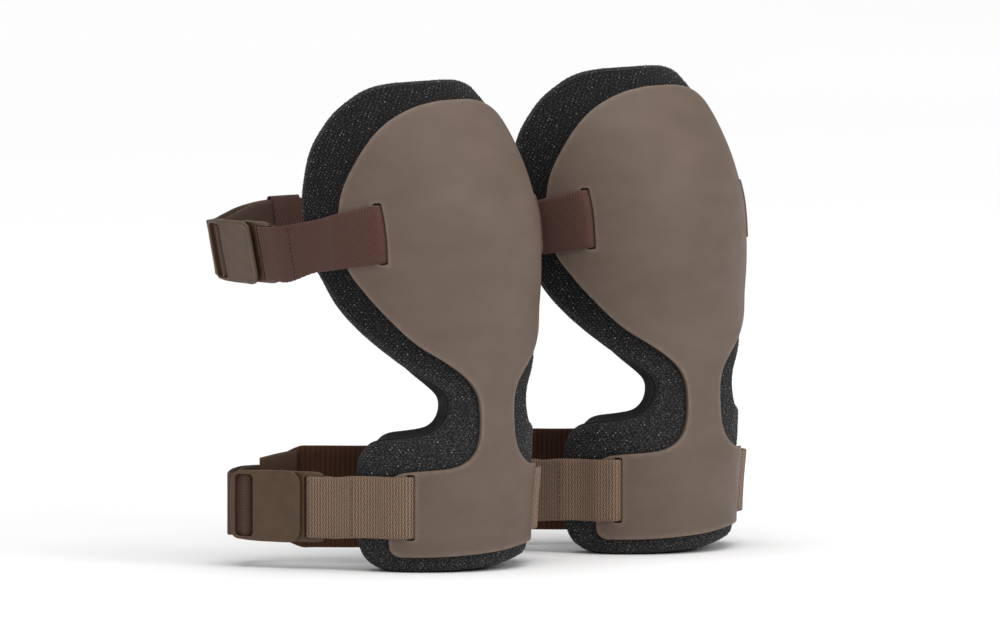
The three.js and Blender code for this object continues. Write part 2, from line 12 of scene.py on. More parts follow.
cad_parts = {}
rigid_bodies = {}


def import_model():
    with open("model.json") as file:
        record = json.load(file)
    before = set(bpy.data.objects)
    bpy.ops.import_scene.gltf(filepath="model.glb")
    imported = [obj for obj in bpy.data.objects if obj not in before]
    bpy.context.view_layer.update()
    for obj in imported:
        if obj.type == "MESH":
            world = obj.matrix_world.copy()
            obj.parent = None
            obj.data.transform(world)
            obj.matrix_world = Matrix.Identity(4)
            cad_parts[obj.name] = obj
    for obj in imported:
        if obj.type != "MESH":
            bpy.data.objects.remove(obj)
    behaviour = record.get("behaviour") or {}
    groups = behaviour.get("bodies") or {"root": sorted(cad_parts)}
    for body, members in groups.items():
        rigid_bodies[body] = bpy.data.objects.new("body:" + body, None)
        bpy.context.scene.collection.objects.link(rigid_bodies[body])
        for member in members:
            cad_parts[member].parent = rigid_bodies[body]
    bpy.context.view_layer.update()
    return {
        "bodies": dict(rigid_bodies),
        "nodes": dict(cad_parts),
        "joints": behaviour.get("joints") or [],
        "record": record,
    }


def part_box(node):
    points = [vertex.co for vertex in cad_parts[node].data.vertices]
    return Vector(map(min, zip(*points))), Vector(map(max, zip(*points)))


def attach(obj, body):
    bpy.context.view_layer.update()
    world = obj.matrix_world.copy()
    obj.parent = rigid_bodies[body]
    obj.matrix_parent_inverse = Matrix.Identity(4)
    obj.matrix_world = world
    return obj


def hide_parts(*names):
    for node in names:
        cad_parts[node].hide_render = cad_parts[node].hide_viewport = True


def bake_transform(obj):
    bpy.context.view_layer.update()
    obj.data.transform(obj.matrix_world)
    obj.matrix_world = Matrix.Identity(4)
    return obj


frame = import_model()
MM = 0.001

# ---------------------------------------------------------------- sizes, in a pad's own frame

SPINE = [
    (0, 3, 0, 62), (40, 3, 40, 62), (85, 3, 85, 63), (115, 4, 115, 68), (150, 4, 150, 78),
    (185, 3, 185, 82), (215, 5, 215, 82), (246, 14, 245, 80), (269, 24, 265, 77),
    (291, 36, 284, 70), (308, 47, 297, 62), (331, 64, 313, 50),
]
SIDE_DROOP = 0.35
PAD_OUTLINE = [
    (0, 66), (2, 79), (5, 88), (9, 93), (14, 96), (24, 98.5), (56, 98.5), (67, 97.8), (73, 95.5),
    (78.5, 90), (81.5, 80), (83, 68), (84.5, 56), (86.5, 46), (92, 37), (99, 32.3), (106, 31),
    (112, 33.5), (118, 42), (125, 55), (138, 75.5), (152, 94.5), (166, 110), (182, 121), (197, 131),
    (212, 134), (228, 134), (244, 130.5), (264, 121.5), (282, 109.8), (297, 95.3), (307, 83.3),
    (314.5, 69.8), (319.5, 53.2), (322.5, 29),
]
# The right side: a squarer top to the foot band and a wider waist, as changes to the half width,
# and how far the crown, the foot's lower edge and the shell's lower edge rise across the front.
RIGHT_SIDE = [
    (0, 0), (72, 0), (79, 6), (83, 20), (85.5, 34), (88, 38), (89.5, 33), (91, 12), (92.5, 4.5),
    (99, 5), (106, 6), (112, 6), (118, 5.5), (125, 5.5), (138, 5), (152, 3.5), (166, 2), (185, 0),
]
CROWN_RISE = [
    (-85, 0), (-66, 0.8), (-52, 2.6), (-43, 3.2), (-33, 2.2), (-20, 0.8), (-5, 0), (15, 0),
    (34, -1.2), (60, 0),
]
RIGHT_SHELL = [(62, 0), (66, 2), (70, 3.2), (106, 3.2), (122, 2), (140, 0)]
FOOT_RISE = [
    (-60, 0), (-40, 0.5), (-15, 1.6), (2, 2.9), (13, 4.3), (30, 6.2), (51, 8.2), (75, 11), (98, 15),
]
SHELL_RISE = [(-70, -0.8), (-45, -0.6), (0, 1.8), (23, 4.2), (51, 5.6), (72, 6)]
# The right side of the foot swells outward a little towards its top.
SWELL = [(0, 0), (20, 0), (40, 0.9), (60, 2.6), (80, 3.6), (95, 3.6), (120, 2.4), (160, 0)]
SHELL_OUTLINE = [
    (10.5, 64), (13, 68.5), (17.5, 70), (50, 70), (58, 68.5), (62, 63.5), (63.6, 53), (64.3, 43),
    (65.2, 33), (67.5, 25), (72, 18.5), (78, 14.6), (86, 12.6), (96, 12), (106, 12.6), (114, 15.5),
    (122, 22), (130, 32.5), (144, 54), (160, 71.5), (174, 85), (190, 97), (206, 102), (220, 102),
    (236, 98), (250, 91), (265, 79.5), (279, 65.5), (289, 52), (295, 39.5), (299, 26.5), (301, 12),
]
SHELL_FRONT = 3.3
SHELL_BACK = 0.15
FOAM_BACK = -20.5
LINER_BACK = -22
WEBBING_WIDTH = 38
GATHERED_WIDTH = 34
CALF_BAND_WIDTH = 63
STRAP_THICKNESS = 1.3
RIB_PITCH = 1.9
CALF_RIB_PITCH = 3.1
UPPER_SLOT = (73.5, 214.5)
LOWER_SLOT = (55.7, 41)
SLOT_LENGTH = 41.5

# Buckle frame: x across the strap, y along it towards the free end, z out of the loop.
STRAP_OUT = 3.95
UPPER_SHARE = 0.9               # the upper buckle's breadth, as a share of the lower one's
# Each buckle: where the strap meets the receiver, its direction there, and the lean of its
# upper edge out of the loop, in degrees.
UPPER_FLARE = 12
UPPER_BUCKLE = (Vector((-86.3, 115.8, 196.7)), Vector((0.11, 0.994, -0.006)), UPPER_FLARE)
LOWER_BUCKLE = (Vector((-75.5, 80, 39.2)), Vector((-0.41, 0.912, 0)), 0)
# Each bar: its place along the buckle and out of the loop, and its radius.
HOOK_BAR = (27, 1.5, 1.9)
WEB_BAR = (51.7, 1.9, 2.2)


# ---------------------------------------------------------------- sums used all over

def unit(vectors):
    return vectors / (np.linalg.norm(vectors, axis=-1, keepdims=True) + 1e-9)


def run_along(points):
    """The distance from the first point to each point, along a line through them all."""
    return np.concatenate([[0], np.cumsum(np.linalg.norm(np.diff(points, axis=0), axis=1))])


def full_turn(count):
    return np.linspace(0, 2 * math.pi, count, endpoint=False)


def arrays(*values):
    return np.broadcast_arrays(*(np.asarray(value, float) for value in values))


def hermite(u, span, start, start_slope, end, end_slope):
    return ((2 * u**3 - 3 * u**2 + 1) * start + (u**3 - 2 * u**2 + u) * span * start_slope
            + (3 * u**2 - 2 * u**3) * end + (u**3 - u**2) * span * end_slope)


# ---------------------------------------------------------------- the pad's curved surface

def value_at(rows, t, column=1):
    """Smooth value at t through rows of (t, value, ...), with no overshoot between rows."""
    rows = np.asarray(rows, float)
    x, v = rows[:, 0], rows[:, column]
    slope = np.diff(v) / np.diff(x)
    tangent = np.concatenate([slope[:1], np.zeros(len(x) - 2), slope[-1:]])
    before, after = slope[:-1], slope[1:]
    same = before * after > 0
    tangent[1:-1][same] = 2 * before[same] * after[same] / (before[same] + after[same])
    t = np.clip(t, x[0], x[-1])
    i = np.clip(np.searchsorted(x, t, side="right") - 1, 0, len(x) - 2)
    span = x[i + 1] - x[i]
    return hermite((t - x[i]) / span, span, v[i], tangent[i], v[i + 1], tangent[i + 1])


def gaussian(sigma):
    reach = int(4 * sigma) + 1
    k = np.exp(-0.5 * (np.arange(-reach, reach + 1) / sigma) ** 2)
    return k / k.sum()


LEVEL_STEP = 0.5
LEVELS = np.arange(-60, SPINE[-1][0] + 60, LEVEL_STEP)


def spine_curve(column):
    """One value up the centre line, carried on straight past its ends and smoothed."""
    first, last = SPINE[0][0], SPINE[-1][0]
    v = value_at(SPINE, LEVELS, column)
    ends = value_at(SPINE, np.array([first, first + 1, last - 1, last]), column)
    v += np.minimum(LEVELS - first, 0) * (ends[1] - ends[0])
    v += np.maximum(LEVELS - last, 0) * (ends[3] - ends[2])
    kernel = gaussian(6 / LEVEL_STEP)
    half = len(kernel) // 2
    return np.convolve(np.pad(v, half, mode="reflect", reflect_type="odd"), kernel, "valid")


FRONT_Y, HEIGHT_Z, RADIUS = (spine_curve(column) for column in (1, 2, 3))
LEAN = SIDE_DROOP * np.arctan2(np.gradient(FRONT_Y), np.gradient(HEIGHT_Z))


def cover_point(arc, height):
    y, z, radius, lean = (
        np.interp(height, LEVELS, curve) for curve in (FRONT_Y, HEIGHT_Z, RADIUS, LEAN))
    back = radius * (1 - np.cos(arc / radius))
    return np.stack([
        radius * np.sin(arc / radius), y + back * np.cos(lean), z - back * np.sin(lean)], -1)


def pad_point(arc, height, out):
    """Points at an arc distance and a height up the centre line, moved out along the normal."""
    arc, height, out = arrays(arc, height, out)
    side = np.clip((arc - 8) / 34, 0, 1) * np.clip((96 - arc) / 34, 0, 1)
    out = out + value_at(SWELL, height) * side**2 * (3 - 2 * side)
    across = cover_point(arc + 0.5, height) - cover_point(arc - 0.5, height)
    up = cover_point(arc, height + 0.5) - cover_point(arc, height - 0.5)
    return cover_point(arc, height) + unit(np.cross(across, up)) * out[..., None]


# ---------------------------------------------------------------- outlines in the plane

def resample(loop, spacing):
    """Evenly spaced points on a closed loop."""
    pts = np.asarray(loop, float)
    pts = np.vstack([pts, pts[:1]])
    step = np.linalg.norm(np.diff(pts, axis=0), axis=1)
    pts = pts[np.concatenate([[True], step > 1e-9])]
    run = run_along(pts)
    count = max(int(round(run[-1] / spacing)), 4)
    at = np.linspace(0, run[-1], count + 1)[:count]
    return np.stack([np.interp(at, run, pts[:, k]) for k in (0, 1)], 1)


def smooth_loop(loop, sigma):
    kernel = gaussian(sigma)
    half = len(kernel) // 2
    padded = np.concatenate([loop[-half:], loop, loop[:half]])
    return np.stack([np.convolve(padded[:, k], kernel, "valid") for k in (0, 1)], 1)


def loop_normals(loop):
    """Outward normals of a loop that runs anticlockwise."""
    along = np.roll(loop, -1, 0) - np.roll(loop, 1, 0)
    return unit(np.stack([along[:, 1], -along[:, 0]], 1))


def offset_loop(loop, distance):
    return loop + distance * loop_normals(loop)


def outline_loop(rows, spacing, rounding, right_change):
    """The closed outline of half widths, as points of (arc, height), anticlockwise."""
    heights = np.arange(rows[0][0], rows[-1][0] + 0.01, 0.2)
    half = value_at(rows, heights)
    left = np.stack([-half, heights], 1)[::-1]
    right = np.stack([half + value_at(right_change, heights), heights], 1)
    return smooth_loop(resample(np.vstack([right, left]), spacing), rounding / spacing)


def risen(loop, rows, fade):
    """A loop whose lower edge is raised by rows of (arc, rise), fading out up to a height."""
    low = loop[:, 1].min()
    share = np.clip(1 - (loop[:, 1] - low) / fade, 0, 1)
    loop[:, 1] += value_at(rows, loop[:, 0]) * share
    return loop


LOOP_SPACING = 1.5


def cover_loop():
    loop = risen(outline_loop(PAD_OUTLINE, LOOP_SPACING, 2, RIGHT_SIDE), FOOT_RISE, 60)
    loop[:, 1] += value_at(CROWN_RISE, loop[:, 0]) * np.clip((loop[:, 1] - 290) / 20, 0, 1)
    return loop


def shell_loop(spacing):
    return risen(outline_loop(SHELL_OUTLINE, spacing, 1.5, RIGHT_SHELL), SHELL_RISE, 35)


def corner(x, y, radius, start, stop):
    """Points round a corner's centre, from one angle to another in degrees."""
    return [(x + radius * math.cos(a), y + radius * math.sin(a))
            for a in np.radians(np.linspace(start, stop, 10))]


def rounded_box(x0, y0, x1, y1, r, spacing=0.8):
    """A rectangle with round corners."""
    return resample(
        corner(x0 + r, y0 + r, r, 180, 270) + corner(x1 - r, y0 + r, r, 270, 360)
        + corner(x1 - r, y1 - r, r, 0, 90) + corner(x0 + r, y1 - r, r, 90, 180), spacing)


def inside(loop, pts):
    x, y = pts[:, 0, None], pts[:, 1, None]
    a, b = loop, np.roll(loop, -1, 0)
    crosses = (a[:, 1] > y) != (b[:, 1] > y)
    rise = np.where(b[:, 1] == a[:, 1], 1, b[:, 1] - a[:, 1])
    reach = a[:, 0] + (y - a[:, 1]) * (b[:, 0] - a[:, 0]) / rise
    return (crosses & (x < reach)).sum(1) % 2 == 1


def distance_to(loop, pts, chunk=2000):
    """Distance from each point to a closed loop."""
    a = loop
    d = np.roll(loop, -1, 0) - a
    length = (d**2).sum(1)
    found = []
    for i in range(0, len(pts), chunk):
        p = pts[i:i + chunk, None]
        t = np.clip(((p - a) * d).sum(-1) / length, 0, 1)
        found.append(np.sqrt(((p - a - t[..., None] * d) ** 2).sum(-1)).min(1))
    return np.concatenate(found) if found else np.zeros(0)


def fill(loops, spacing):
    """Triangles that fill the first loop, leaving the others as holes. The loops' points come first."""
    outer, holes = loops[0], loops[1:]
    low, high = outer.min(0), outer.max(0)
    rows = np.arange(low[1], high[1], spacing * 0.866)
    columns = np.arange(low[0], high[0], spacing)
    grid = np.array([(x + (i % 2) * spacing / 2, y) for i, y in enumerate(rows) for x in columns])
    grid += 0.01 * np.sin(np.arange(len(grid)))[:, None]
    keep = inside(outer, grid) & (distance_to(outer, grid) > 0.6 * spacing)
    for hole in holes:
        keep &= ~inside(hole, grid) & (distance_to(hole, grid) > 0.6 * spacing)
    pts = np.vstack([*loops, grid[keep]])
    edges = []
    start = 0
    for loop in loops:
        n = len(loop)
        edges += [(start + k, start + (k + 1) % n) for k in range(n)]
        start += n
    found = delaunay_2d_cdt([Vector(p) for p in pts], edges, [], 0, 1e-6)
    source = [origins[0] for origins in found[3]]
    triangles = np.array([[source[k] for k in face] for face in found[2]])
    middle = pts[triangles].mean(1)
    keep = inside(outer, middle)
    for hole in holes:
        keep &= ~inside(hole, middle)
    triangles = triangles[keep]
    a, b, c = (pts[triangles[:, k]] for k in range(3))
    turn = (b - a)[:, 0] * (c - a)[:, 1] - (b - a)[:, 1] * (c - a)[:, 0]
    triangles[turn < 0] = triangles[turn < 0][:, ::-1]
    return pts, triangles


# ---------------------------------------------------------------- meshes

class Shape:
    """Collects points, faces and a texture coordinate for each face corner, in millimetres."""

    def __init__(self):
        self.points, self.faces, self.uvs, self.tints = [], [], [], []
        self.count = 0

    def add_points(self, pts, tint=0.5):
        pts = np.asarray(pts, float).reshape(-1, 3)
        start = self.count
        self.points.append(pts)
        self.tints.append(np.broadcast_to(tint, (len(pts),)))
        self.count += len(pts)
        return start

    def add_faces(self, faces, uvs):
        self.faces += [tuple(int(k) for k in face) for face in faces]
        self.uvs += [tuple(uv) for face in uvs for uv in face]

    def object(self, name, place=None):
        pts = np.vstack(self.points)
        if place is not None:
            pts = np.array([place @ Vector(p) for p in pts])
        me = bpy.data.meshes.new(name)
        me.from_pydata((pts * MM).tolist(), [], self.faces)
        layer = me.uv_layers.new(name="Weave")
        layer.data.foreach_set("uv", np.array(self.uvs, np.float32).ravel())
        tint = me.attributes.new("tint", "FLOAT", "POINT")
        tint.data.foreach_set("value", np.concatenate(self.tints).astype(np.float32))
        me.polygons.foreach_set("use_smooth", [True] * len(me.polygons))
        tidy = bmesh.new()
        tidy.from_mesh(me)
        bmesh.ops.recalc_face_normals(tidy, faces=tidy.faces)
        tidy.to_mesh(me)
        tidy.free()
        ob = bpy.data.objects.new(name, me)
        bpy.context.scene.collection.objects.link(ob)
        return ob


def level(value):
    return lambda pts: np.full(len(pts), float(value))


def add_slab(shape, place, loops, spacing, front, back, rim, back_offset=0.0, tint=level(0.5)):
    """A closed slab. place maps (x, y, out) to a point; front and back give out for (x, y);
    rim lists the rings between the two faces' edges: how far outward, how much of the front's
    level and how much of the back's, and a shift of that level."""
    flat, triangles = fill(loops, spacing)
    edge_count = sum(len(loop) for loop in loops)
    normals = np.zeros_like(flat)
    normals[:edge_count] = np.vstack([
        loop_normals(loop) * (1 if k == 0 else -1) * loop_turn(loop)
        for k, loop in enumerate(loops)])
    front_start = shape.add_points(place(flat[:, 0], flat[:, 1], front(flat)), tint(flat))
    moved = flat + back_offset * normals
    back_start = shape.add_points(place(moved[:, 0], moved[:, 1], back(moved)))
    shape.add_faces(triangles + front_start, flat[triangles])
    shape.add_faces(triangles[:, ::-1] + back_start, flat[triangles[:, ::-1]])
    start = 0
    for k, loop in enumerate(loops):
        n = len(loop)
        ids = np.arange(start, start + n)
        rings = [ids + front_start]
        depth = [0.0]
        for offset, share, shift in rim:
            pts = flat[ids] + offset * normals[ids]
            out = share * front(flat[ids]) + (1 - share) * back(flat[ids]) + shift
            first = shape.add_points(place(pts[:, 0], pts[:, 1], out))
            rings.append(np.arange(first, first + n))
            depth.append(depth[-1] + 0.8)
        rings.append(ids + back_start)
        depth.append(depth[-1] + 1)
        run = run_along(np.vstack([loop, loop[:1]]))
        forward = (k == 0) == (loop_turn(loop) > 0)
        for r in range(len(rings) - 1):
            for j in range(n):
                m = (j + 1) % n
                face = [rings[r][m], rings[r][j], rings[r + 1][j], rings[r + 1][m]]
                here, there = depth[r], depth[r + 1]
                uv = [(run[j + 1], here), (run[j], here), (run[j], there), (run[j + 1], there)]
                if not forward:
                    face, uv = face[::-1], uv[::-1]
                shape.add_faces([face], [uv])
        start += n
    return shape


def loop_turn(loop):
    """1 for an anticlockwise loop, -1 for a clockwise one."""
    x, y = loop[:, 0], loop[:, 1]
    area = (x * np.roll(y, -1) - np.roll(x, -1) * y).sum()
    return 1 if area > 0 else -1


def edge_arc(radius, steps=4):
    """Rim rings that round both corners of a slab's edge."""
    turns = np.linspace(0, math.pi / 2, steps + 1)[1:]
    upper = [(radius * math.sin(a), 1, -radius * (1 - math.cos(a))) for a in turns]
    return upper + [(offset, 0, -shift) for offset, _, shift in reversed(upper)]


def add_tube(shape, centres, radius, sides, closed=False):
    """A round thread or bar along a line of points."""
    c = np.asarray(centres, float)
    n = len(c)
    along = unit((np.roll(c, -1, 0) - np.roll(c, 1, 0)) if closed else np.gradient(c, axis=0))
    helper = np.tile([0.0, 0.0, 1.0], (n, 1))
    helper[np.abs(along[:, 2]) > 0.9] = (1, 0, 0)
    u = unit(np.cross(along, helper))
    w = np.cross(along, u)
    turn = full_turn(sides)[:, None]
    r = np.broadcast_to(radius, (n,))
    ring = c[:, None] + r[:, None, None] * (np.cos(turn) * u[:, None] + np.sin(turn) * w[:, None])
    start = shape.add_points(ring)
    faces = []
    for i in range(n if closed else n - 1):
        for k in range(sides):
            a, b = start + i * sides, start + ((i + 1) % n) * sides
            faces.append((a + k, a + (k + 1) % sides, b + (k + 1) % sides, b + k))
    shape.add_faces(faces, [((0, 0), (1, 0), (1, 1), (0, 1))] * len(faces))
    if not closed:
        for ring_start, order in ((start, -1), (start + (n - 1) * sides, 1)):
            cap = [ring_start + k for k in range(sides)][::order]
            shape.add_faces([cap], [[(0, 0)] * sides])
    return shape


# ---------------------------------------------------------------- straps

def catmull(rows, step):
    """Rows of points carried smoothly through every row, one for each step along the middle."""
    rows = np.asarray(rows, float)
    run = run_along(rows[:, rows.shape[1] // 2])
    at = np.linspace(0, run[-1], max(int(run[-1] / step), 8) + 1)
    i = np.clip(np.searchsorted(run, at, side="right") - 1, 0, len(run) - 2)
    tangent = np.gradient(rows, run, axis=0)
    span = (run[i + 1] - run[i])[:, None, None]
    u = (at - run[i])[:, None, None] / span
    return at, hermite(u, span, rows[i], tangent[i], rows[i + 1], tangent[i + 1])


def add_ribbon(shape, rows, thickness, step, relief=None, selvedge=0.15):
    """A flat strap through rows of points. Each row runs across it, from one edge to the other."""
    run, grid = catmull(rows, step)
    length, width = grid.shape[:2]
    along = np.gradient(grid, axis=0)
    across = np.gradient(grid, axis=1)
    normal = unit(np.cross(across, along))
    side = unit(across)
    spread = run_along(grid[length // 2])
    spread -= spread[-1] / 2
    raised = relief(run[:, None], spread[None]) if relief else np.zeros((length, width))
    loops = selvedge * np.sin(2 * math.pi * run / 1.7)[:, None]
    half = thickness / 2
    top = grid + normal * (half + raised)[..., None]
    bottom = grid - normal * (half + raised)[..., None]
    bulge = half * 0.75
    edge_a = grid[:, 0] - side[:, 0] * (bulge + loops)
    edge_b = grid[:, -1] + side[:, -1] * (bulge + loops)
    section = np.concatenate([top, edge_b[:, None], bottom[:, ::-1], edge_a[:, None]], 1)
    v = np.concatenate([spread, [spread[-1] + 0.6], spread[::-1], [spread[0] - 0.6]])
    around = section.shape[1]
    start = shape.add_points(section)
    faces, uvs = [], []
    for i in range(length - 1):
        for k in range(around):
            m = (k + 1) % around
            a, b = start + i * around, start + (i + 1) * around
            faces.append((a + k, a + m, b + m, b + k))
            uvs.append(((run[i], v[k]), (run[i], v[m]), (run[i + 1], v[m]), (run[i + 1], v[k])))
    shape.add_faces(faces, uvs)
    for row, order in ((0, -1), (length - 1, 1)):
        first = start + row * around
        pairs = []
        for k in range(width - 1):
            quad = [first + k, first + k + 1, first + 2 * width - k - 1, first + 2 * width - k]
            pairs.append(quad[::order])
        ends = [[first + width - 1, first + width, first + width + 1],
                [first + 2 * width, first + 2 * width + 1, first]]
        for cap in pairs + [e[::order] for e in ends]:
            shape.add_faces([cap], [[(0, 0)] * len(cap)])
    return shape


COLUMNS = 15


def across_offsets(width):
    return np.linspace(-width / 2, width / 2, COLUMNS)


def row_on_pad(arc, height, out, width=WEBBING_WIDTH):
    return pad_point(np.full(COLUMNS, float(arc)), height + across_offsets(width), out)


def row_in_air(centre, across, width=WEBBING_WIDTH):
    across = Vector(across).normalized()
    return np.array(centre)[None] + across_offsets(width)[:, None] * np.array(across)[None]


def free_rows(route, count, widths=WEBBING_WIDTH, leans=0):
    """Rows of a strap behind the leg, along a smooth route from the right side to the left.
    Each lean, in degrees, moves the upper edge out of the loop."""
    route = np.asarray(route, float)
    run = run_along(route)
    at = np.linspace(0, run[-1], count)
    widths = np.interp(at, run, np.broadcast_to(widths, (len(route),)))
    leans = np.interp(at, run, np.broadcast_to(leans, (len(route),)))
    _, line = catmull(route[:, None], run[-1] / (count - 1))
    share = np.linspace(0, run[-1], len(line))
    line = np.stack([np.interp(at, share, line[:, 0, k]) for k in range(3)], 1)
    along = np.gradient(line, axis=0)
    return [row_in_air(point, leaning(ahead, lean), width)
            for point, ahead, lean, width in zip(line, along, leans, widths)]


def leaning(along, lean):
    """The direction across a strap that runs along a direction, its upper edge leaning outward."""
    outward = Vector(along).cross(Vector((0, 0, 1))).normalized()
    upright = outward.cross(Vector(along)).normalized()
    return upright * math.cos(math.radians(lean)) + outward * math.sin(math.radians(lean))


def buckle_frame(buckle):
    """The buckle's placement: x across the strap, y along it, z out of the loop."""
    at, heading, flare = buckle
    along = heading.normalized()
    across = leaning(-along, flare)
    out = across.cross(along).normalized()
    frame = Matrix((across, along, out)).transposed().to_4x4()
    frame.translation = at - out * STRAP_OUT
    return frame


def placed_by(frame, share=1.0):
    """A function that puts buckle coordinates in the pad's frame, narrowed to a share."""
    basis = np.array(frame)

    def place(x, y, out):
        x, y, out = arrays(x, y, out)
        return np.stack([share * x, y, out], -1) @ basis[:3, :3].T + basis[:3, 3]
    return place


# ---------------------------------------------------------------- materials

def srgb(r, g, b):
    linear = [c / 255 / 12.92 if c <= 10 else ((c / 255 + 0.055) / 1.055) ** 2.4 for c in (r, g, b)]
    return (*linear, 1.0)


class Finish:
    """A material whose nodes are added one by one."""

    def __init__(self, name, **sockets):
        self.material = bpy.data.materials.new(name)
        self.material.use_nodes = True
        self.tree = self.material.node_tree
        self.shader = self.tree.nodes["Principled BSDF"]
        for socket, value in sockets.items():
            self.shader.inputs[socket.replace("_", " ")].default_value = value

    def node(self, kind, inputs, **settings):
        node = self.tree.nodes.new("ShaderNode" + kind)
        for key, value in settings.items():
            setattr(node, key, value)
        for key, value in inputs.items():
            if isinstance(value, bpy.types.NodeSocket):
                self.tree.links.new(value, node.inputs[key])
            else:
                node.inputs[key].default_value = value
        return node

    def math(self, operation, a, b=0.0, c=0.0):
        return self.node("Math", {0: a, 1: b, 2: c}, operation=operation).outputs[0]

    def times(self, a, b):
        return self.math("MULTIPLY", a, b)

    def plus(self, a, b, scale=1.0):
        """a times a scale, plus b."""
        return self.math("MULTIPLY_ADD", a, scale, b)

    def weave(self):
        """How far along and across the cloth a point lies, in millimetres."""
        uv = self.node("UVMap", {}, uv_map="Weave").outputs[0]
        parts = self.node("SeparateXYZ", {0: uv})
        return parts.outputs[0], parts.outputs[1]

    def tint(self):
        return self.node("Attribute", {}, attribute_name="tint").outputs["Fac"]

    def noise(self, size, detail, low=0.0, high=1.0, stretch=(1, 1, 1)):
        """Noise with features of a size in millimetres, from low to high."""
        at = self.node("TexCoord", {}).outputs["Object"]
        at = self.node("VectorMath", {0: at, 1: stretch}, operation="MULTIPLY").outputs[0]
        raw = self.node(
            "TexNoise", {"Vector": at, "Scale": 1000 / size, "Detail": detail}).outputs["Fac"]
        return self.node("MapRange", {
            "Value": raw, "From Min": 0.3, "From Max": 0.7, "To Min": low, "To Max": high}).outputs[0]

    def wave(self, value, pitch):
        """A sine from 0 to 1 with a pitch in millimetres."""
        turned = self.math("SINE", self.times(value, 2 * math.pi / pitch))
        return self.math("MULTIPLY_ADD", turned, 0.5, 0.5)

    def clamped(self, value):
        return self.node("Clamp", {0: value}).outputs[0]

    def mix(self, factor, a, b):
        return self.node("Mix", {"Factor": factor, 6: a, 7: b}, data_type="RGBA").outputs[2]

    def bump(self, height, distance):
        """Adds relief, with its depth in millimetres."""
        inputs = {"Height": height, "Distance": distance * MM, "Strength": 1.0}
        if self.shader.inputs["Normal"].links:
            inputs["Normal"] = self.shader.inputs["Normal"].links[0].from_socket
        self.tree.links.new(self.node("Bump", inputs).outputs[0], self.shader.inputs["Normal"])

    def set(self, **sockets):
        for socket, value in sockets.items():
            self.tree.links.new(value, self.shader.inputs[socket.replace("_", " ")])
        return self


def cloth(name, roughness, sheen, sheen_roughness, specular=0.2):
    return Finish(name, Roughness=roughness, Sheen_Weight=sheen, Sheen_Roughness=sheen_roughness,
                  Specular_IOR_Level=specular)


def shell_finish():
    f = Finish("shell_rubber", Specular_IOR_Level=0.3)
    cloud = f.noise(38, 3, stretch=(1, 1, 2.2))
    fine = f.noise(0.7, 2)
    base = f.mix(cloud, srgb(101, 86, 75), srgb(109, 93, 82))
    base = f.mix(f.times(fine, 0.10), base, srgb(80, 66, 56))
    # Painted highlight: the shell is lighter in patches along its outline and round its slots, where the
    # tint is low.
    rim_highlight = f.times(f.math("SUBTRACT", 1, f.tint()), f.noise(5, 3, low=0.15, high=0.5))
    base = f.mix(rim_highlight, base, srgb(140, 125, 110))
    f.bump(fine, 0.018)
    f.bump(f.noise(9, 2), 0.1)
    return f.set(Base_Color=base, Roughness=f.noise(14, 3, low=0.52, high=0.66))


def mesh_finish():
    f = cloth("mesh_fabric", 0.9, 0.03, 0.5, 0.15)
    x, y = f.weave()
    up = f.wave(f.plus(y, x, 0.577), 3.6)
    down = f.wave(f.plus(y, x, -0.577), 3.6)
    net = f.times(up, down)
    fuzz = f.noise(0.45, 3)
    # Painted light: low grows towards the foot of the cover, and there the mesh's colour and its speckle
    # are lightened as if lit from low in front.
    low = f.clamped(f.plus(y, 1.55, -1 / 110))
    speckle = f.times(f.noise(0.9, 4, low=-0.9, high=1.1), f.plus(low, 0.25, 0.75))
    base = f.mix(net, srgb(13, 13, 14), srgb(32, 31, 32))
    base = f.mix(f.times(low, 0.35), base, srgb(46, 45, 47))
    base = f.mix(f.times(f.clamped(speckle), 0.62), base, srgb(100, 98, 100))
    f.bump(f.plus(net, f.times(fuzz, 0.25)), 0.35)
    return f.set(Base_Color=base)


def knot_finish():
    f = Finish("mesh_knots", Roughness=0.55, Specular_IOR_Level=0.4)
    base = f.mix(f.tint(), srgb(34, 33, 34), srgb(176, 172, 169))
    f.bump(f.noise(0.3, 2), 0.03)
    return f.set(Base_Color=base)


def foam_finish():
    f = Finish("foam", Sheen_Weight=0.03, Sheen_Roughness=0.4, Specular_IOR_Level=0.2)
    base = f.mix(f.noise(9, 3), srgb(21, 20, 21), srgb(30, 29, 30))
    f.bump(f.noise(0.35, 2), 0.03)
    f.bump(f.noise(7, 2), 0.25)
    return f.set(Base_Color=base, Roughness=f.noise(3, 3, low=0.55, high=0.72))


def liner_finish():
    f = cloth("liner_fabric", 0.9, 0.45, 0.45)
    x, y = f.weave()
    loops = f.times(f.wave(x, 0.9), f.wave(y, 1.1))
    nap = f.noise(0.5, 3, stretch=(1, 1, 0.5))
    base = f.mix(nap, srgb(23, 23, 24), srgb(47, 46, 47))
    f.bump(f.plus(loops, nap), 0.12)
    return f.set(Base_Color=base)


def twill_finish():
    f = cloth("twill_elastic", 0.82, 0.12, 0.4)
    x, y = f.weave()
    ridge = f.wave(f.math("SUBTRACT", x, y), 1.25)
    floats = f.wave(f.plus(y, x, 0.5), 1.9)
    yarn = f.times(ridge, f.plus(floats, 0.4, 0.6))
    fuzz = f.noise(0.45, 3)
    base = f.mix(yarn, srgb(48, 30, 26), srgb(126, 95, 84))
    base = f.mix(f.times(f.noise(1.1, 3), 0.4), base, srgb(104, 66, 54))
    base = f.mix(f.times(fuzz, 0.25), base, srgb(44, 30, 26))
    f.bump(f.plus(fuzz, yarn, 0.3), 0.16)
    return f.set(Base_Color=base)


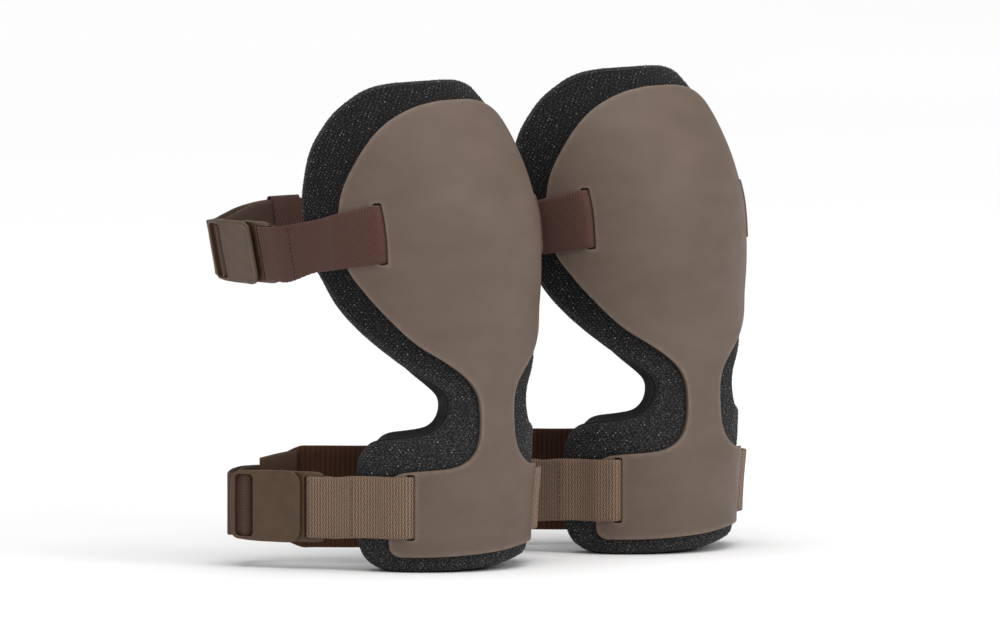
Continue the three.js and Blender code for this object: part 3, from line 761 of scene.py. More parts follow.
def ribbed_finish(name, pitch, dark, light, fleck, loop=1.15, depth=0.3):
    """A knit of small loops in upright rows, with flecks of a third colour."""
    f = cloth(name, 0.85, 0.1, 0.45)
    x, y = f.weave()
    rib = f.wave(f.plus(x, pitch / 4), pitch)
    lean = f.math("PINGPONG", x, pitch / 2)
    loops = f.wave(f.plus(lean, y, 0.9), loop)
    knit = f.times(loops, f.wave(f.plus(y, x, 0.4), 1.3))
    fuzz = f.noise(0.4, 3)
    height = f.plus(f.times(rib, depth), f.times(knit, 1 - depth))
    base = f.mix(height, srgb(*dark), srgb(*light))
    base = f.mix(f.times(f.noise(0.8, 3, low=-0.4, high=0.8), 0.6), base, srgb(*fleck))
    f.bump(f.plus(fuzz, height, 0.35), 0.2)
    return f.set(Base_Color=base)


def webbing_finish():
    f = cloth("webbing", 0.8, 0.1, 0.4)
    x, y = f.weave()
    zig = f.math("PINGPONG", y, 3.8)
    chevron = f.wave(f.plus(x, zig), 1.5)
    yarn = f.wave(y, 0.95)
    fuzz = f.noise(0.4, 3)
    base = f.mix(f.times(chevron, yarn), srgb(58, 42, 34), srgb(116, 90, 76))
    base = f.mix(f.times(fuzz, 0.2), base, srgb(120, 94, 80))
    f.bump(f.plus(chevron, f.times(yarn, 0.5)), 0.14)
    return f.set(Base_Color=base)


def plastic_finish():
    f = Finish("buckle_plastic", Specular_IOR_Level=0.32)
    base = f.mix(f.noise(11, 2), srgb(81, 61, 45), srgb(89, 69, 51))
    f.bump(f.noise(0.4, 2), 0.012)
    return f.set(Base_Color=base, Roughness=f.noise(4, 3, low=0.36, high=0.5))


def thread_finish(name, colour):
    f = Finish(name, Roughness=0.6, Sheen_Weight=0.2, Specular_IOR_Level=0.35)
    dark = tuple(0.6 * c for c in colour)
    f.bump(f.noise(0.25, 1), 0.03)
    return f.set(Base_Color=f.mix(f.noise(0.6, 2), srgb(*dark), srgb(*colour)))


def floor_finish():
    f = Finish("floor_paper", Specular_IOR_Level=0.2, Roughness=0.8)
    return f.set(Base_Color=f.mix(f.noise(900, 2), srgb(251, 251, 251), srgb(253, 253, 253)))


# ---------------------------------------------------------------- camera, floor and light

VIEW_TURN = math.radians(43)
VIEW_RISE = math.radians(4.6)
VIEW_DISTANCE = 16000
VIEW_WIDTH = 625                # how much the picture takes in at the object
SENSOR = 36
SHELL_BULGE = 1.1               # how far the shell's box reaches in front of a pad's own origin
FLOOR_REACH = 60


def pad_origin(side):
    low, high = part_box(f"{side}_outer_shell")
    return Vector(((low[0] + high[0]) / 2, low[1] + SHELL_BULGE * MM, 0))


def add_camera():
    rise = (math.sin(VIEW_RISE), math.cos(VIEW_RISE))
    turn = (math.sin(VIEW_TURN), math.cos(VIEW_TURN))
    right = Vector((turn[1], -turn[0], 0))
    up = Vector((turn[0] * rise[0], turn[1] * rise[0], rise[1]))
    ahead = Vector((turn[0] * rise[1], turn[1] * rise[1], -rise[0]))
    target = pad_origin("left") + (right * 1.25 + up * 156.9) * MM
    data = bpy.data.cameras.new("camera")
    data.sensor_width = SENSOR
    data.lens = VIEW_DISTANCE * SENSOR / VIEW_WIDTH
    data.clip_end = 100
    camera = bpy.data.objects.new("camera", data)
    camera.matrix_world = Matrix((right, up, -ahead)).transposed().to_4x4()
    camera.location = target - ahead * VIEW_DISTANCE * MM
    bpy.context.scene.collection.objects.link(camera)
    bpy.context.scene.camera = camera
    return right, Vector((ahead.x, ahead.y, 0)).normalized()


def add_light(name, kind, place, aim, energy, **settings):
    data = bpy.data.lights.new(name, kind)
    data.energy = energy
    for key, value in settings.items():
        setattr(data, key, value)
    light = bpy.data.objects.new(name, data)
    light.location = place
    light.rotation_euler = (aim - place).to_track_quat("-Z", "Y").to_euler()
    bpy.context.scene.collection.objects.link(light)


def add_studio():
    right, flat = add_camera()
    up = Vector((0, 0, 1))
    aim = Vector((0, 0, 0.15))
    add_light("key", "AREA", aim - flat * 1.3 + right * 2.3 + up * 1.3, aim, 22,
              shape="RECTANGLE", size=1.2, size_y=1.2)
    add_light("rim", "AREA", aim + flat * 1.2 - right * 2.0 + up * 1.2, aim, 2.4,
              shape="RECTANGLE", size=1.0, size_y=1.6)
    add_light("sky", "SUN", up * 2.2 + right * 0.1 - flat * 0.3, aim, 2, angle=math.radians(60))
    world = bpy.data.worlds.new("studio")
    world.use_nodes = True
    background = world.node_tree.nodes["Background"].inputs
    background["Color"].default_value = (1, 1, 1, 1)
    background["Strength"].default_value = 0.4
    scene = bpy.context.scene
    scene.world = world
    scene.view_settings.view_transform = "Standard"
    scene.view_settings.look = "None"
    me = bpy.data.meshes.new("floor")
    corners = [(FLOOR_REACH * x, FLOOR_REACH * y, 0) for x, y in ((-1, -1), (1, -1), (1, 1), (-1, 1))]
    me.from_pydata(corners, [], [(0, 1, 2, 3)])
    floor = bpy.data.objects.new("floor", me)
    me.materials.append(floor_finish().material)
    scene.collection.objects.link(floor)


add_studio()


# ---------------------------------------------------------------- the pad's layers

EDGE = 5.5                      # radius of the cover's rounded edge


def on_pad(arc, height, out):
    """A point of the pad, kept from reaching below the surface it stands on."""
    return pad_point(arc, np.maximum(height, 0), out)


PAD_LOOP = smooth_loop(offset_loop(cover_loop(), -EDGE), 1.0)


def shell_slots(grow=0.0):
    slots = []
    for arc, height in (UPPER_SLOT, LOWER_SLOT):
        half = SLOT_LENGTH / 2
        near, far = arc - 2.2 - grow, arc + 3.6 + grow
        for low, high in ((near, far), (-far, -near)):
            slots.append(rounded_box(
                low, height - half - grow, high, height + half + grow, 1.6 + grow))
    return slots


def make_shell():
    rim = 0.7
    outline = offset_loop(shell_loop(1.2), -rim)
    slots = shell_slots(grow=0.4)

    def back(pts):
        raised = np.zeros(len(pts))
        for slot in shell_slots():
            x, y = slot.mean(0)
            across = np.clip(1.4 - np.abs(pts[:, 0] - x * (1 - 4 / abs(x))) / 9, 0, 1)
            raised = np.maximum(raised, across * np.clip(2.2 - np.abs(pts[:, 1] - y) / 14, 0, 1))
        return SHELL_BACK + 2.0 * raised

    def front(pts):
        crown = 1 - np.exp(-distance_to(outline, pts) / 7)
        lips = np.zeros(len(pts))
        for slot in slots:
            lips = np.maximum(lips, np.exp(-(distance_to(slot, pts) / 1.6) ** 2))
        return SHELL_FRONT - 0.2 + 0.2 * crown + 0.12 * lips

    # The tint of each point: 0 at the outline and the slots, 1 from 2.2 mm in; the shell's finish paints
    # a highlight where it is low.
    def rim_highlight_tint(pts):
        at_slots = np.min([distance_to(slot, pts) for slot in slots], 0)
        return np.clip(np.minimum(distance_to(outline, pts), at_slots * 1.5) / 2.2, 0, 1)

    rings = edge_arc(rim, 4)[:4] + [(rim, 0, 0.35), (rim - 0.15, 0, 0.08)]
    return add_slab(
        Shape(), on_pad, [outline, *slots], 2.2, front, back, rings, rim - 0.35, rim_highlight_tint)


def make_cover():
    front = edge_arc(EDGE, 7)[:7]
    rings = front + [(EDGE, 1, -EDGE - 0.8), (EDGE - 1.3, 1, -EDGE - 0.8)]
    return add_slab(Shape(), on_pad, [PAD_LOOP], 4, level(0), level(-1), rings)


def make_piping():
    """The bound seam where the speckled front meets the plain side."""
    loop = resample(offset_loop(PAD_LOOP, EDGE + 0.1), 2.2)
    ripple = 0.25 * np.sin(np.arange(len(loop)) * 0.9)
    centres = pad_point(loop[:, 0], np.maximum(loop[:, 1], 0.85), -EDGE - 1.0 + 0.2 * ripple)
    return add_tube(Shape(), centres, 0.85 + 0.1 * ripple, 8, closed=True)


def make_foam():
    side = [
        (EDGE - 1.7, -6.8), (EDGE - 0.6, -7.4), (EDGE - 0.1, -8.6), (EDGE + 0.3, -10.5),
        (EDGE + 1.2, -12.8), (EDGE + 2.4, -15.2), (EDGE + 3.5, -17.3), (EDGE + 4.1, -18.8),
        (EDGE + 3.8, -19.8), (EDGE + 2.8, -20.4),
    ]
    rings = [(offset, 0, out - FOAM_BACK) for offset, out in side]
    return add_slab(
        Shape(), on_pad, [PAD_LOOP], 5, level(-1.5), level(FOAM_BACK), rings, EDGE + 1.4)


def make_liner():
    reach = EDGE + 3.1

    def back(pts):
        return LINER_BACK + 1.1 * np.exp(-distance_to(PAD_LOOP, pts) / 2.5)
    rings = [(reach - 0.4, 1, 0.0), (reach, 1, -0.35), (reach - 0.3, 0, -0.2)]
    return add_slab(
        Shape(), on_pad, [PAD_LOOP], 4, level(FOAM_BACK - 0.1), back, rings, reach - 1.2)


KNOT_PITCH = 2.9
KNOT_REACH = 0.46
SHELL_LOOP = shell_loop(LOOP_SPACING)


def edge_level(depth):
    """How far below the front the cover lies, for a distance in from its outer edge."""
    inward = np.clip(EDGE - depth, 0, EDGE)
    return np.sqrt(EDGE**2 - inward**2) - EDGE


def make_knots():
    """The raised knots of the mesh, wherever the shell leaves it open."""
    random = np.random.RandomState(11)
    outline = cover_loop()
    low, high = outline.min(0), outline.max(0)
    pts = []
    for i, height in enumerate(np.arange(low[1], high[1], KNOT_PITCH * 0.577)):
        start = low[0] + (i % 2) * KNOT_PITCH / 2
        pts += [(arc, height) for arc in np.arange(start, high[0], KNOT_PITCH)]
    pts = np.array(pts)
    pts += random.normal(0, 0.28, pts.shape)
    depth = distance_to(outline, pts)
    keep = inside(outline, pts) & (depth > 0.5) & (pts[:, 1] > 1.2)
    keep &= ~inside(SHELL_LOOP, pts) & (distance_to(SHELL_LOOP, pts) > 0.8)
    pts, depth = pts[keep], depth[keep]
    base = pad_point(pts[:, 0], pts[:, 1], edge_level(depth) - 0.1)
    moved = (pts + (0.3, 0), pts + (0, 0.3))
    right, above = (
        pad_point(p[:, 0], p[:, 1], edge_level(distance_to(outline, p))) - base for p in moved)
    u = unit(right)
    normal = unit(np.cross(right, above))
    v = np.cross(normal, u)
    size = KNOT_REACH * random.uniform(0.6, 1.25, len(pts))
    bright = np.clip(random.gamma(0.8, 0.2, len(pts)), 0.02, 1)
    shape = Shape()
    sides = 6
    turn = full_turn(sides)[:, None]
    for k in range(len(pts)):
        ring = np.cos(turn) * u[k] + np.sin(turn) * v[k] * 0.8
        lower = base[k] + size[k] * ring
        upper = base[k] + size[k] * (0.7 * ring + 0.62 * normal[k])
        top = base[k] + size[k] * 0.85 * normal[k]
        bottom = base[k] - 0.2 * normal[k]
        start = shape.add_points(np.vstack([lower, upper, top[None], bottom[None]]), bright[k])
        faces = []
        for j in range(sides):
            m = (j + 1) % sides
            faces.append((start + j, start + m, start + sides + m, start + sides + j))
            faces.append((start + sides + j, start + sides + m, start + 2 * sides))
            faces.append((start + m, start + j, start + 2 * sides + 1))
        shape.add_faces(faces, [[(0, 0)] * len(face) for face in faces])
    return shape


# ---------------------------------------------------------------- stitches

def add_stitches(shape, place, path, length, pitch, radius=0.32, lift=0.12):
    """Short threads along a path of (x, y) on a surface. place gives the surface point."""
    path = np.asarray(path, float)
    run = run_along(path)
    for start in np.arange(0.3, run[-1] - length, pitch):
        at = start + length * np.linspace(0, 1, 5)
        flat = np.stack([np.interp(at, run, path[:, k]) for k in (0, 1)], 1)
        height = lift - radius + 0.9 * radius * np.sin(np.linspace(0, math.pi, 5)) ** 0.5
        centres = place(flat[:, 0], flat[:, 1], height)
        add_tube(shape, centres, radius * np.array([0.55, 1, 1.05, 1, 0.55]), 6)
    return shape


def zigzag(length, at, width, pitch):
    """Turning points along x, centred on x = 0, to either side of y = at."""
    count = max(int(length / pitch), 2)
    return [(length * (k / count - 0.5), at + width / 2 * (-1) ** k) for k in range(count + 1)]


# ---------------------------------------------------------------- straps

TWILL_STEP = 1.2
RIB_STEP = 0.45
HUG = 0.95                      # middle of a strap lying on a surface, above that surface


def slot_rows(arc, height, fall, side, tail, lift=0.0):
    """From a tab under the shell, out through the slot and over the shell's and the pad's edges."""
    start = [
        (arc - 11, 0.95), (arc - 3.5, 1.0), (arc - 1.0, 1.7), (arc + 0.7, 3.3),
        (arc + 2.4, SHELL_FRONT + 0.85 + 0.4 * lift), (arc + 5, SHELL_FRONT + HUG + 0.15 + lift),
    ]
    return [row_on_pad(side * a, height - fall * max(a - arc, 0), out) for a, out in start + tail]


UPPER_TAIL = [
    (86, SHELL_FRONT + HUG), (98, SHELL_FRONT + HUG), (102.5, SHELL_FRONT + 0.8),
    (105.5, SHELL_FRONT + 0.1), (109, 2.1), (113, 1.3), (120, 1.0),
]
LOWER_TAIL = [
    (64, SHELL_FRONT + HUG), (69, SHELL_FRONT + 0.9), (72, SHELL_FRONT + 0.3), (75.5, 2.2),
]
RIGHT_TAIL = [(64, 7.6), (70, 9.2), (77, 8.8), (85, 6.6)]
UPPER_FALL, LOWER_FALL = 0.155, 0.02
# Each near strap: its slot, how it falls, its way over the pad, the points it passes in the air,
# its buckle, and how much it gathers there.
UPPER_STRAP = (UPPER_SLOT, UPPER_FALL, UPPER_TAIL, [], UPPER_BUCKLE, WEBBING_WIDTH - GATHERED_WIDTH)
LOWER_STRAP = (LOWER_SLOT, LOWER_FALL, LOWER_TAIL, [(-68.6, 60, 40.3)], LOWER_BUCKLE, 0.5)


def bar_fold():
    """The strap's middle in the buckle frame: out to the receiver's slot bar, round it and back."""
    out, under = STRAP_OUT, STRAP_OUT - STRAP_THICKNESS
    return [
        (-8, out), (0, out), (5, out), (8.4, out - 0.1), (10.1, out - 0.9), (10.9, 2.4), (10.9, 0.6),
        (10.1, -0.7), (8.4, -1.2), (5, -1.15), (0, -0.8), (-5, 0.5), (-9, under - 0.4),
        (-12, under - 0.5), (-14.5, under - 0.5),
    ]


def near_strap_rows(slot, fall, tail, between, buckle, gather):
    """From the tab to the receiver's slot bar, round it, and back to the sewn end."""
    frame = buckle_frame(buckle)
    place, up = placed_by(frame), np.array(frame)[:3, 0]
    rows = slot_rows(*slot, fall, -1, tail) + [row_in_air(p, up) for p in between]
    fold = bar_fold()
    for i, (along, out) in enumerate(fold):
        width = WEBBING_WIDTH - gather * (0.75, 1)[min(i, 1)] - (3 if i > len(fold) - 4 else 0)
        rows.append(row_in_air(place(0, along, out), up, width))
    return rows


def strap_ribs(along, across):
    rib = np.cos(2 * math.pi * along / RIB_PITCH)
    return 0.07 * rib * np.clip((WEBBING_WIDTH / 2 - np.abs(across)) / 1.2, 0.2, 1)


def calf_ribs(along, across):
    rib = np.cos(2 * math.pi * along / CALF_RIB_PITCH)
    return 0.12 * rib * np.clip((28 - np.abs(across)) / 2, 0.2, 1)


def make_near_strap(strap, step, relief=None):
    return add_ribbon(Shape(), near_strap_rows(*strap), STRAP_THICKNESS, step, relief)


UPPER_BACK_ROUTE = [
    (85.4, 91.5, 203), (83, 104, 203), (78, 123, 203), (67.5, 147, 203), (49, 170.5, 203.2),
    (28.5, 187.2, 203.5), (12, 193.8, 203.5), (4, 195, 203.5),
]
UPPER_BACK_LEANS = (0, 2, 6.5, 11, 12, 12, 12, 12)
CALF_BAND_ROUTE = [
    (65, 76, 40), (48, 86, 40), (22, 99, 40), (-8, 114, 40), (-38, 141.5, 40), (-43.5, 146.6, 39.8),
]
FAR_LAP = [(68.6, 68, 40), (67.6, 77.6, 40), (59.5, 82.6, 40), (50.4, 87.2, 40)]
UPPER_SLEEVE_ROUTE = [(12, 194, 203.5), (1, 195.3, 203.5), (-11, 195.3, 203.5)]
LOWER_SLEEVE_ROUTE = [(-39.5, 143.2, 40.3), (-48, 150.7, 40.5), (-57, 158.3, 40.5)]


def make_far_band():
    rows = slot_rows(*UPPER_SLOT, UPPER_FALL, 1, UPPER_TAIL)
    rows += free_rows(UPPER_BACK_ROUTE, 22, leans=UPPER_BACK_LEANS)
    return add_ribbon(Shape(), rows, STRAP_THICKNESS, TWILL_STEP)


def make_far_strap():
    rows = slot_rows(*LOWER_SLOT, LOWER_FALL, 1, RIGHT_TAIL, 1.2) + free_rows(FAR_LAP, 10)
    return add_ribbon(Shape(), rows, STRAP_THICKNESS, RIB_STEP, strap_ribs)


def make_calf_band():
    rows = free_rows(CALF_BAND_ROUTE, 30, [CALF_BAND_WIDTH] * 5 + [56])
    return add_ribbon(Shape(), rows, 1.7, 0.5, calf_ribs)


UPPER_WEB = (
    [(-2, 196.3, 203.5), (-14, 196.4, 203.2), (-32, 197.2, 200.5), (-50, 195.2, 197.4),
     (-64, 190.3, 196.2), (-73, 184.8, 196.4)],
    [(-67, 180.3, 196.5), (-55, 185, 196.6), (-42, 188.6, 198), (-14, 194.1, 203.2), (-2, 194.2, 203.5)],
)
LOWER_WEB = (
    [(-48.8, 153, 40.5), (-57.5, 160.6, 40.5), (-67, 163, 40.3), (-77, 159.8, 39.8),
     (-86.5, 153.5, 39.4), (-94.5, 146, 39.2)],
    [(-91.5, 141.5, 39.2), (-84, 148.5, 39.5), (-74, 155, 40), (-65, 158.2, 40.4),
     (-57.6, 157.2, 40.5), (-48.8, 150, 40.5)],
)


def make_clip_webbing(buckle, web, width):
    """Webbing from the sleeve to the clip's far bar, round it and back, of a width at the bar."""
    frame = buckle_frame(buckle)
    place, up = placed_by(frame), np.array(frame)[:3, 0]
    along, out, radius = WEB_BAR
    turn = radius + 0.75
    path = [np.array(p, float) for p in web[0]]
    path += [place(0, a, o) for a, o in ((64, 1.9), (59, 2.2), (55.9, 2.9))]
    for angle in range(75, 290, 21):
        a = math.radians(angle)
        path.append(place(0, along + turn * math.cos(a), out + turn * math.sin(a)))
    path += [place(0, 55, -1.3), place(0, 58.5, -1.5)]
    path += [np.array(p, float) for p in web[1]]
    middle = (len(path) - 1) / 2
    at_sleeve = np.array(leaning((-1, 0, 0), buckle[2]))
    rows = []
    for i, point in enumerate(path):
        tangent = unit(path[min(i + 1, len(path) - 1)] - path[max(i - 1, 0)])
        turned = min(max(middle - abs(i - middle) - 2, 0) / 2, 1)
        across = (1 - turned) * at_sleeve + turned * up
        across -= tangent * (across @ tangent)
        rows.append(row_in_air(point, across, WEBBING_WIDTH + turned * (width - WEBBING_WIDTH)))
    return add_ribbon(Shape(), rows, STRAP_THICKNESS, 0.9)


SLEEVE_WALL = 0.9


def make_sleeve(route, widths, depths, lean):
    """A flat sewn tube. Widths and depths are its outer sizes at each point of the route."""
    grid = np.array(free_rows(route, 30, widths, lean))
    n = len(grid)
    run = np.linspace(0, 1, n)
    depths = np.interp(run, np.linspace(0, 1, len(depths)), depths)
    middle = grid[:, COLUMNS // 2]
    up = unit(grid[:, -1] - grid[:, 0])
    out = unit(np.cross(up, np.gradient(middle, axis=0)))
    sides = 40
    turn = full_turn(sides)
    across = (np.sign(np.cos(turn)) * np.abs(np.cos(turn)) ** 0.45)[None, :, None]
    depth = (np.sign(np.sin(turn)) * np.abs(np.sin(turn)) ** 0.6)[None, :, None]
    shape = Shape()
    rings = []
    for inset in (0, SLEEVE_WALL):
        w = np.linalg.norm(grid[:, -1] - grid[:, 0], axis=1) / 2 - inset
        d = depths / 2 - inset
        rings.append(shape.add_points(
            middle[:, None] + w[:, None, None] * across * up[:, None]
            + d[:, None, None] * depth * out[:, None]))
    length = np.linalg.norm(middle[-1] - middle[0])
    for start, flip in ((rings[0], False), (rings[1], True)):
        for i in range(n - 1):
            for k in range(sides):
                m = (k + 1) % sides
                a, b = start + i * sides, start + (i + 1) * sides
                face = [a + k, b + k, b + m, a + m]
                x0, x1 = length * run[i], length * run[i + 1]
                y0, y1 = 2.2 * k, 2.2 * (k + 1)
                uv = [(x0, y0), (x1, y0), (x1, y1), (x0, y1)]
                shape.add_faces([face[::-1] if flip else face], [uv[::-1] if flip else uv])
    for i, flip in ((0, False), (n - 1, True)):
        for k in range(sides):
            m = (k + 1) % sides
            a, b = rings[0] + i * sides, rings[1] + i * sides
            face = [a + k, a + m, b + m, b + k]
            shape.add_faces([face[::-1] if flip else face], [[(0, 0), (1, 0), (1, 1), (0, 1)]])
    return shape


# ---------------------------------------------------------------- buckles

def add_bar(shape, place, half, along, out, radius):
    """A round bar across the buckle."""
    return add_tube(shape, place(np.linspace(-half, half, 12), along, out), radius, 20)


def make_receiver(place):
    outline = [
        (-19.5, 0), (19.5, 0), (20.8, 0.8), (21.6, 2.8), (22, 6), (22, 25.5), (19, 25.5), (19, 20),
        (-19, 20), (-19, 25.5), (-22, 25.5), (-22, 6), (-21.6, 2.8), (-20.8, 0.8),
    ]
    rim = 0.7
    loop = offset_loop(smooth_loop(resample(outline, 0.6), 1.0), -rim)
    hole = offset_loop(rounded_box(-19.4, 9.5, 19.4, 12.9, 1.2, 0.6), rim)

    def front(pts):
        lip = np.exp(-(((pts[:, 1] - 1.6) / 1.1) ** 2))
        bar = np.exp(-(((pts[:, 1] - 7.4) / 1.3) ** 2)) * (np.abs(pts[:, 0]) < 19.5)
        return 3.0 - 0.25 * bar + 0.25 * lip

    shape = add_slab(Shape(), place, [loop, hole], 1.6, front, level(0), edge_arc(rim, 3))
    return add_bar(shape, place, 21.4, *HOOK_BAR)


def clip_outline():
    """The clip seen from outside: wide round corners towards the shell, a bowed far end."""
    right = corner(14, 22.5, 8.5, -90, 0) + [(22.4, 40), (21.9, 50)]
    right += corner(15.3, 56.5, 6, 0, 82) + [(8, 62.8)]
    left = [(-x, y) for x, y in reversed(right)]
    return resample(right + left, 0.8)


def make_clip(place):
    rim = 0.75
    loop = offset_loop(clip_outline(), -rim)
    window = offset_loop(rounded_box(-19.4, 46.2, 19.4, 58.8, 2.6, 0.8), rim)

    def dip(pts):
        return 2.4 * (np.clip(pts[:, 1] - 45, 0, 18) / 18) ** 2

    def front(pts):
        edge = distance_to(loop, pts)
        near = np.clip((30 - pts[:, 1]) / 6, 0, 1)
        lip = near * np.exp(-((edge - 0.9) / 0.9) ** 2)
        groove = near * np.exp(-((edge - 3.4) / 0.8) ** 2)
        crown = 0.4 * (1 - (pts[:, 0] / 22.5) ** 2)
        soft = (1 - near) * np.exp(-(edge / 1.1) ** 2)
        frame = np.exp(-(distance_to(window, pts) / 1.2) ** 2)
        return 7.0 + crown + 0.5 * lip - 0.25 * groove - 0.35 * soft + 0.2 * frame - dip(pts)

    def back(pts):
        return 3.8 + math.tan(math.radians(12.5)) * np.clip(24.7 - pts[:, 1], 0, 11) - dip(pts)

    shape = add_slab(Shape(), place, [loop, window], 1.3, front, back, edge_arc(rim, 4))
    along, out, _ = HOOK_BAR
    hook_radius, hook_wall = 3.25, 1.9
    xs = np.linspace(-16.5, 16.5, COLUMNS)
    hook = [place(xs, along + hook_radius * math.cos(a), out + hook_radius * math.sin(a))
            for a in np.radians(np.linspace(60, 300, 25))]
    add_ribbon(shape, hook, hook_wall, 0.5, selvedge=0)
    cheek = offset_loop(rounded_box(WEB_BAR[0] - 3.5, -0.3, WEB_BAR[0] + 3.5, 5, 1.6, 0.5), -0.3)
    for x in (-20.25, 20.25):
        add_slab(shape, lambda y, z, x: place(x, y, z), [cheek], 1.2,
                 level(x + 0.75), level(x - 0.75), edge_arc(0.3, 2))
    return add_bar(shape, place, 20.5, *WEB_BAR)


# ---------------------------------------------------------------- stitches on the straps and liner

def strap_stitches(strap, back):
    """A line of stitches across the near strap, where its folded end is sewn down, a distance
    back from the place where the strap meets the buckle."""
    run, grid = catmull(near_strap_rows(*strap), 0.4)
    middle, meeting = grid[:, COLUMNS // 2], np.array(strap[4][0])
    meets = np.argmin(np.linalg.norm(middle - meeting, axis=1))
    row = np.argmin(np.abs(run - run[meets] + back))
    line = grid[row]
    out = unit(np.cross(line[-1] - line[0], middle[row + 2] - middle[row]))
    reach = np.linalg.norm(line[-1] - line[0])

    def place(x, _, z):
        x, z = arrays(x, z)
        at = np.linspace(0, reach, COLUMNS)
        along = np.stack([np.interp(x, at, line[:, k]) for k in range(3)], -1)
        return along + (STRAP_THICKNESS / 2 + z)[..., None] * out
    return add_stitches(Shape(), place, [(0.3, 0), (reach - 0.3, 0)], 1.5, 2.6, 0.42, 0.2)


def sleeve_stitches(route, depth_rows, width, lean):
    """Zig-zag stitches across a sleeve, near both of its ends."""
    route = np.asarray(route, float)
    run = run_along(route)
    shape = Shape()
    for at, depth in depth_rows:
        middle, ahead = (
            Vector([float(np.interp(y, run, route[:, k])) for k in range(3)]) for y in (at, at + 1))
        along = (ahead - middle).normalized()
        across = leaning(along, lean)
        out = along.cross(across)

        def place(x, y, z, at=at, depth=depth, middle=middle, along=along, across=across, out=out):
            x, y, z = (v[..., None] for v in arrays(x, y, z))
            return (np.array(middle) + (y - at) * np.array(along) + x * np.array(across)
                    + (z + depth / 2) * np.array(out))
        add_stitches(shape, place, zigzag(width, at, 2.4, 2.6), 2.4, 3.1)
    return shape


def liner_stitches():
    loop = resample(offset_loop(PAD_LOOP, EDGE - 5.2), 1.0)
    return add_stitches(
        Shape(), lambda x, y, z: pad_point(x, np.maximum(y, 0.6), LINER_BACK - z),
        np.vstack([loop, loop[:1]]), 2.6, 4.2, 0.35)


# ---------------------------------------------------------------- assembly

UPPER_PLACE = placed_by(buckle_frame(UPPER_BUCKLE), UPPER_SHARE)
LOWER_PLACE = placed_by(buckle_frame(LOWER_BUCKLE))

FINISHES = {
    "shell_rubber": shell_finish(),
    "mesh_fabric": mesh_finish(),
    "mesh_knots": knot_finish(),
    "foam": foam_finish(),
    "liner_fabric": liner_finish(),
    "twill_elastic": twill_finish(),
    "ribbed_elastic": ribbed_finish(
        "ribbed_elastic", RIB_PITCH, (56, 41, 31), (198, 170, 146), (110, 76, 60)),
    "calf_elastic": ribbed_finish(
        "calf_elastic", CALF_RIB_PITCH, (70, 46, 33), (98, 66, 49), (88, 58, 43), 1.3, 0.6),
    "sleeve_cloth": ribbed_finish(
        "sleeve_cloth", 1.4, (74, 56, 46), (124, 100, 84), (104, 80, 66)),
    "webbing": webbing_finish(),
    "buckle_plastic": plastic_finish(),
    "dark_thread": thread_finish("dark_thread", (34, 24, 22)),
    "brown_thread": thread_finish("brown_thread", (120, 96, 80)),
    "black_thread": thread_finish("black_thread", (52, 50, 51)),
}

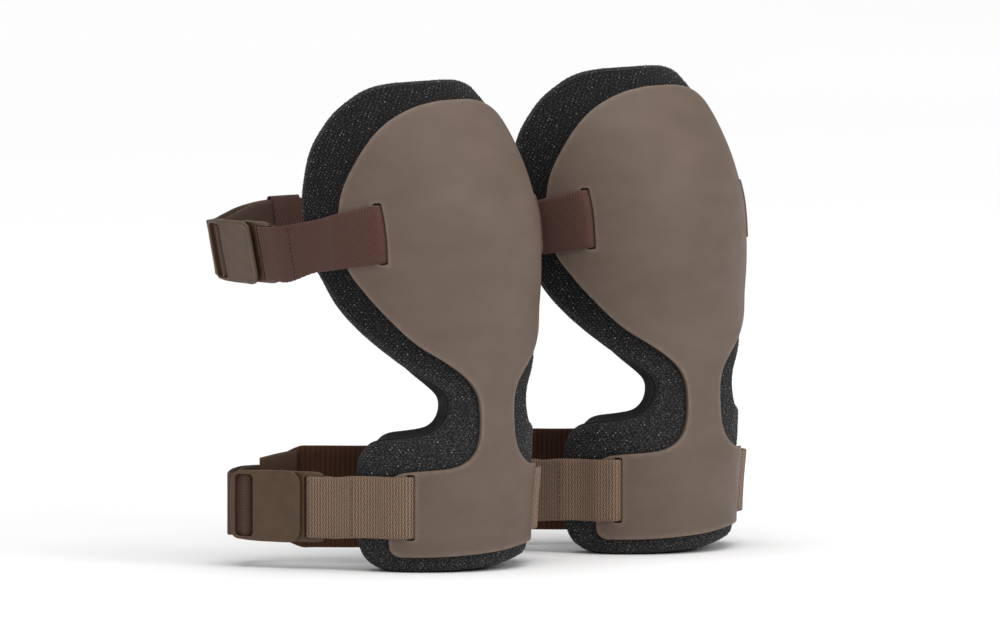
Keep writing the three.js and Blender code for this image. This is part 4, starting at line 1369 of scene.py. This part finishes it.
# Each piece: its shape, its finish, its material slot, its body and the CAD node it stands for.
PIECES = {
    "shell": (make_shell(), "shell_rubber", "shell_rubber", "pad", "outer_shell"),
    "cover": (make_cover(), "mesh_fabric", "mesh_fabric", "pad", "mesh_cover"),
    "knots": (make_knots(), "mesh_knots", "mesh_fabric", "pad", None),
    "piping": (make_piping(), "foam", "foam", "pad", None),
    "padding": (make_foam(), "foam", "foam", "pad", "foam_core"),
    "liner": (make_liner(), "liner_fabric", "liner_fabric", "pad", "inner_liner"),
    "liner_seam": (liner_stitches(), "black_thread", "liner_fabric", "pad", None),
    "upper_strap": (
        make_near_strap(UPPER_STRAP, TWILL_STEP),
        "twill_elastic", "twill_elastic", "pad", "upper_near_strap"),
    "upper_strap_seam": (
        strap_stitches(UPPER_STRAP, 20), "dark_thread", "twill_elastic", "pad", None),
    "upper_band": (make_far_band(), "twill_elastic", "twill_elastic", "pad", "upper_far_band"),
    "upper_sleeve": (
        make_sleeve(UPPER_SLEEVE_ROUTE, 43, [4.2, 5.2, 6.4], UPPER_FLARE),
        "twill_elastic", "twill_elastic", "pad", "upper_sleeve"),
    "upper_sleeve_seam": (
        sleeve_stitches(UPPER_SLEEVE_ROUTE, [(3, 4.4), (20, 6.1)], 37, UPPER_FLARE),
        "dark_thread", "twill_elastic", "pad", None),
    "lower_strap": (
        make_near_strap(LOWER_STRAP, RIB_STEP, strap_ribs),
        "ribbed_elastic", "ribbed_elastic", "pad", "lower_near_strap"),
    "lower_strap_seam": (
        strap_stitches(LOWER_STRAP, 21), "brown_thread", "ribbed_elastic", "pad", None),
    "lower_far_strap": (
        make_far_strap(), "ribbed_elastic", "ribbed_elastic", "pad", "lower_far_strap"),
    "calf_band": (make_calf_band(), "calf_elastic", "calf_elastic", "pad", "lower_calf_band"),
    "lower_sleeve": (
        make_sleeve(LOWER_SLEEVE_ROUTE, [59, 54, 48], [6.2, 6.6, 6.4], 0),
        "sleeve_cloth", "calf_elastic", "pad", "lower_sleeve"),
    "lower_sleeve_seam": (
        sleeve_stitches(LOWER_SLEEVE_ROUTE, [(4, 6.4), (19, 6.4)], 40, 0),
        "brown_thread", "calf_elastic", "pad", None),
    "upper_receiver": (
        make_receiver(UPPER_PLACE), "buckle_plastic", "buckle_plastic", "pad", "upper_receiver"),
    "lower_receiver": (
        make_receiver(LOWER_PLACE), "buckle_plastic", "buckle_plastic", "pad", "lower_receiver"),
    "upper_clip": (
        make_clip(UPPER_PLACE), "buckle_plastic", "buckle_plastic", "upper_clip", "upper_clip"),
    "lower_clip": (
        make_clip(LOWER_PLACE), "buckle_plastic", "buckle_plastic", "lower_clip", "lower_clip"),
    "upper_clip_webbing": (
        make_clip_webbing(UPPER_BUCKLE, UPPER_WEB, GATHERED_WIDTH),
        "webbing", "webbing", "upper_clip", "upper_clip_webbing"),
    "lower_clip_webbing": (
        make_clip_webbing(LOWER_BUCKLE, LOWER_WEB, WEBBING_WIDTH),
        "webbing", "webbing", "lower_clip", "lower_clip_webbing"),
}

# Two points on each clip's webbing, one towards the sleeve and one by the clip's far bar; the loop below
# turns them into world points and does nothing more with them.
WEBBING_SPANS = {
    "upper_clip_webbing": ((-20, 196, 205), tuple(UPPER_PLACE(0, 66, 2).tolist())),
    "lower_clip_webbing": ((-60, 160, 39), tuple(LOWER_PLACE(0, 65, 2).tolist())),
}

for side in ("left", "right"):
    origin = pad_origin(side)
    shift = Matrix.Translation(origin / MM)
    for name, (shape, finish, slot, body, node) in PIECES.items():
        piece = shape.object(f"{side}_{name}_look", shift)
        piece.data.materials.append(FINISHES[finish].material)
        if name in WEBBING_SPANS:
            start, end = (tuple(Vector(p) * MM + origin) for p in WEBBING_SPANS[name])
            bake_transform(piece)
            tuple(start)
            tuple(end)
        else:
            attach(piece, f"{side}_{body}")
        if node:
            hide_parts(f"{side}_{node}")
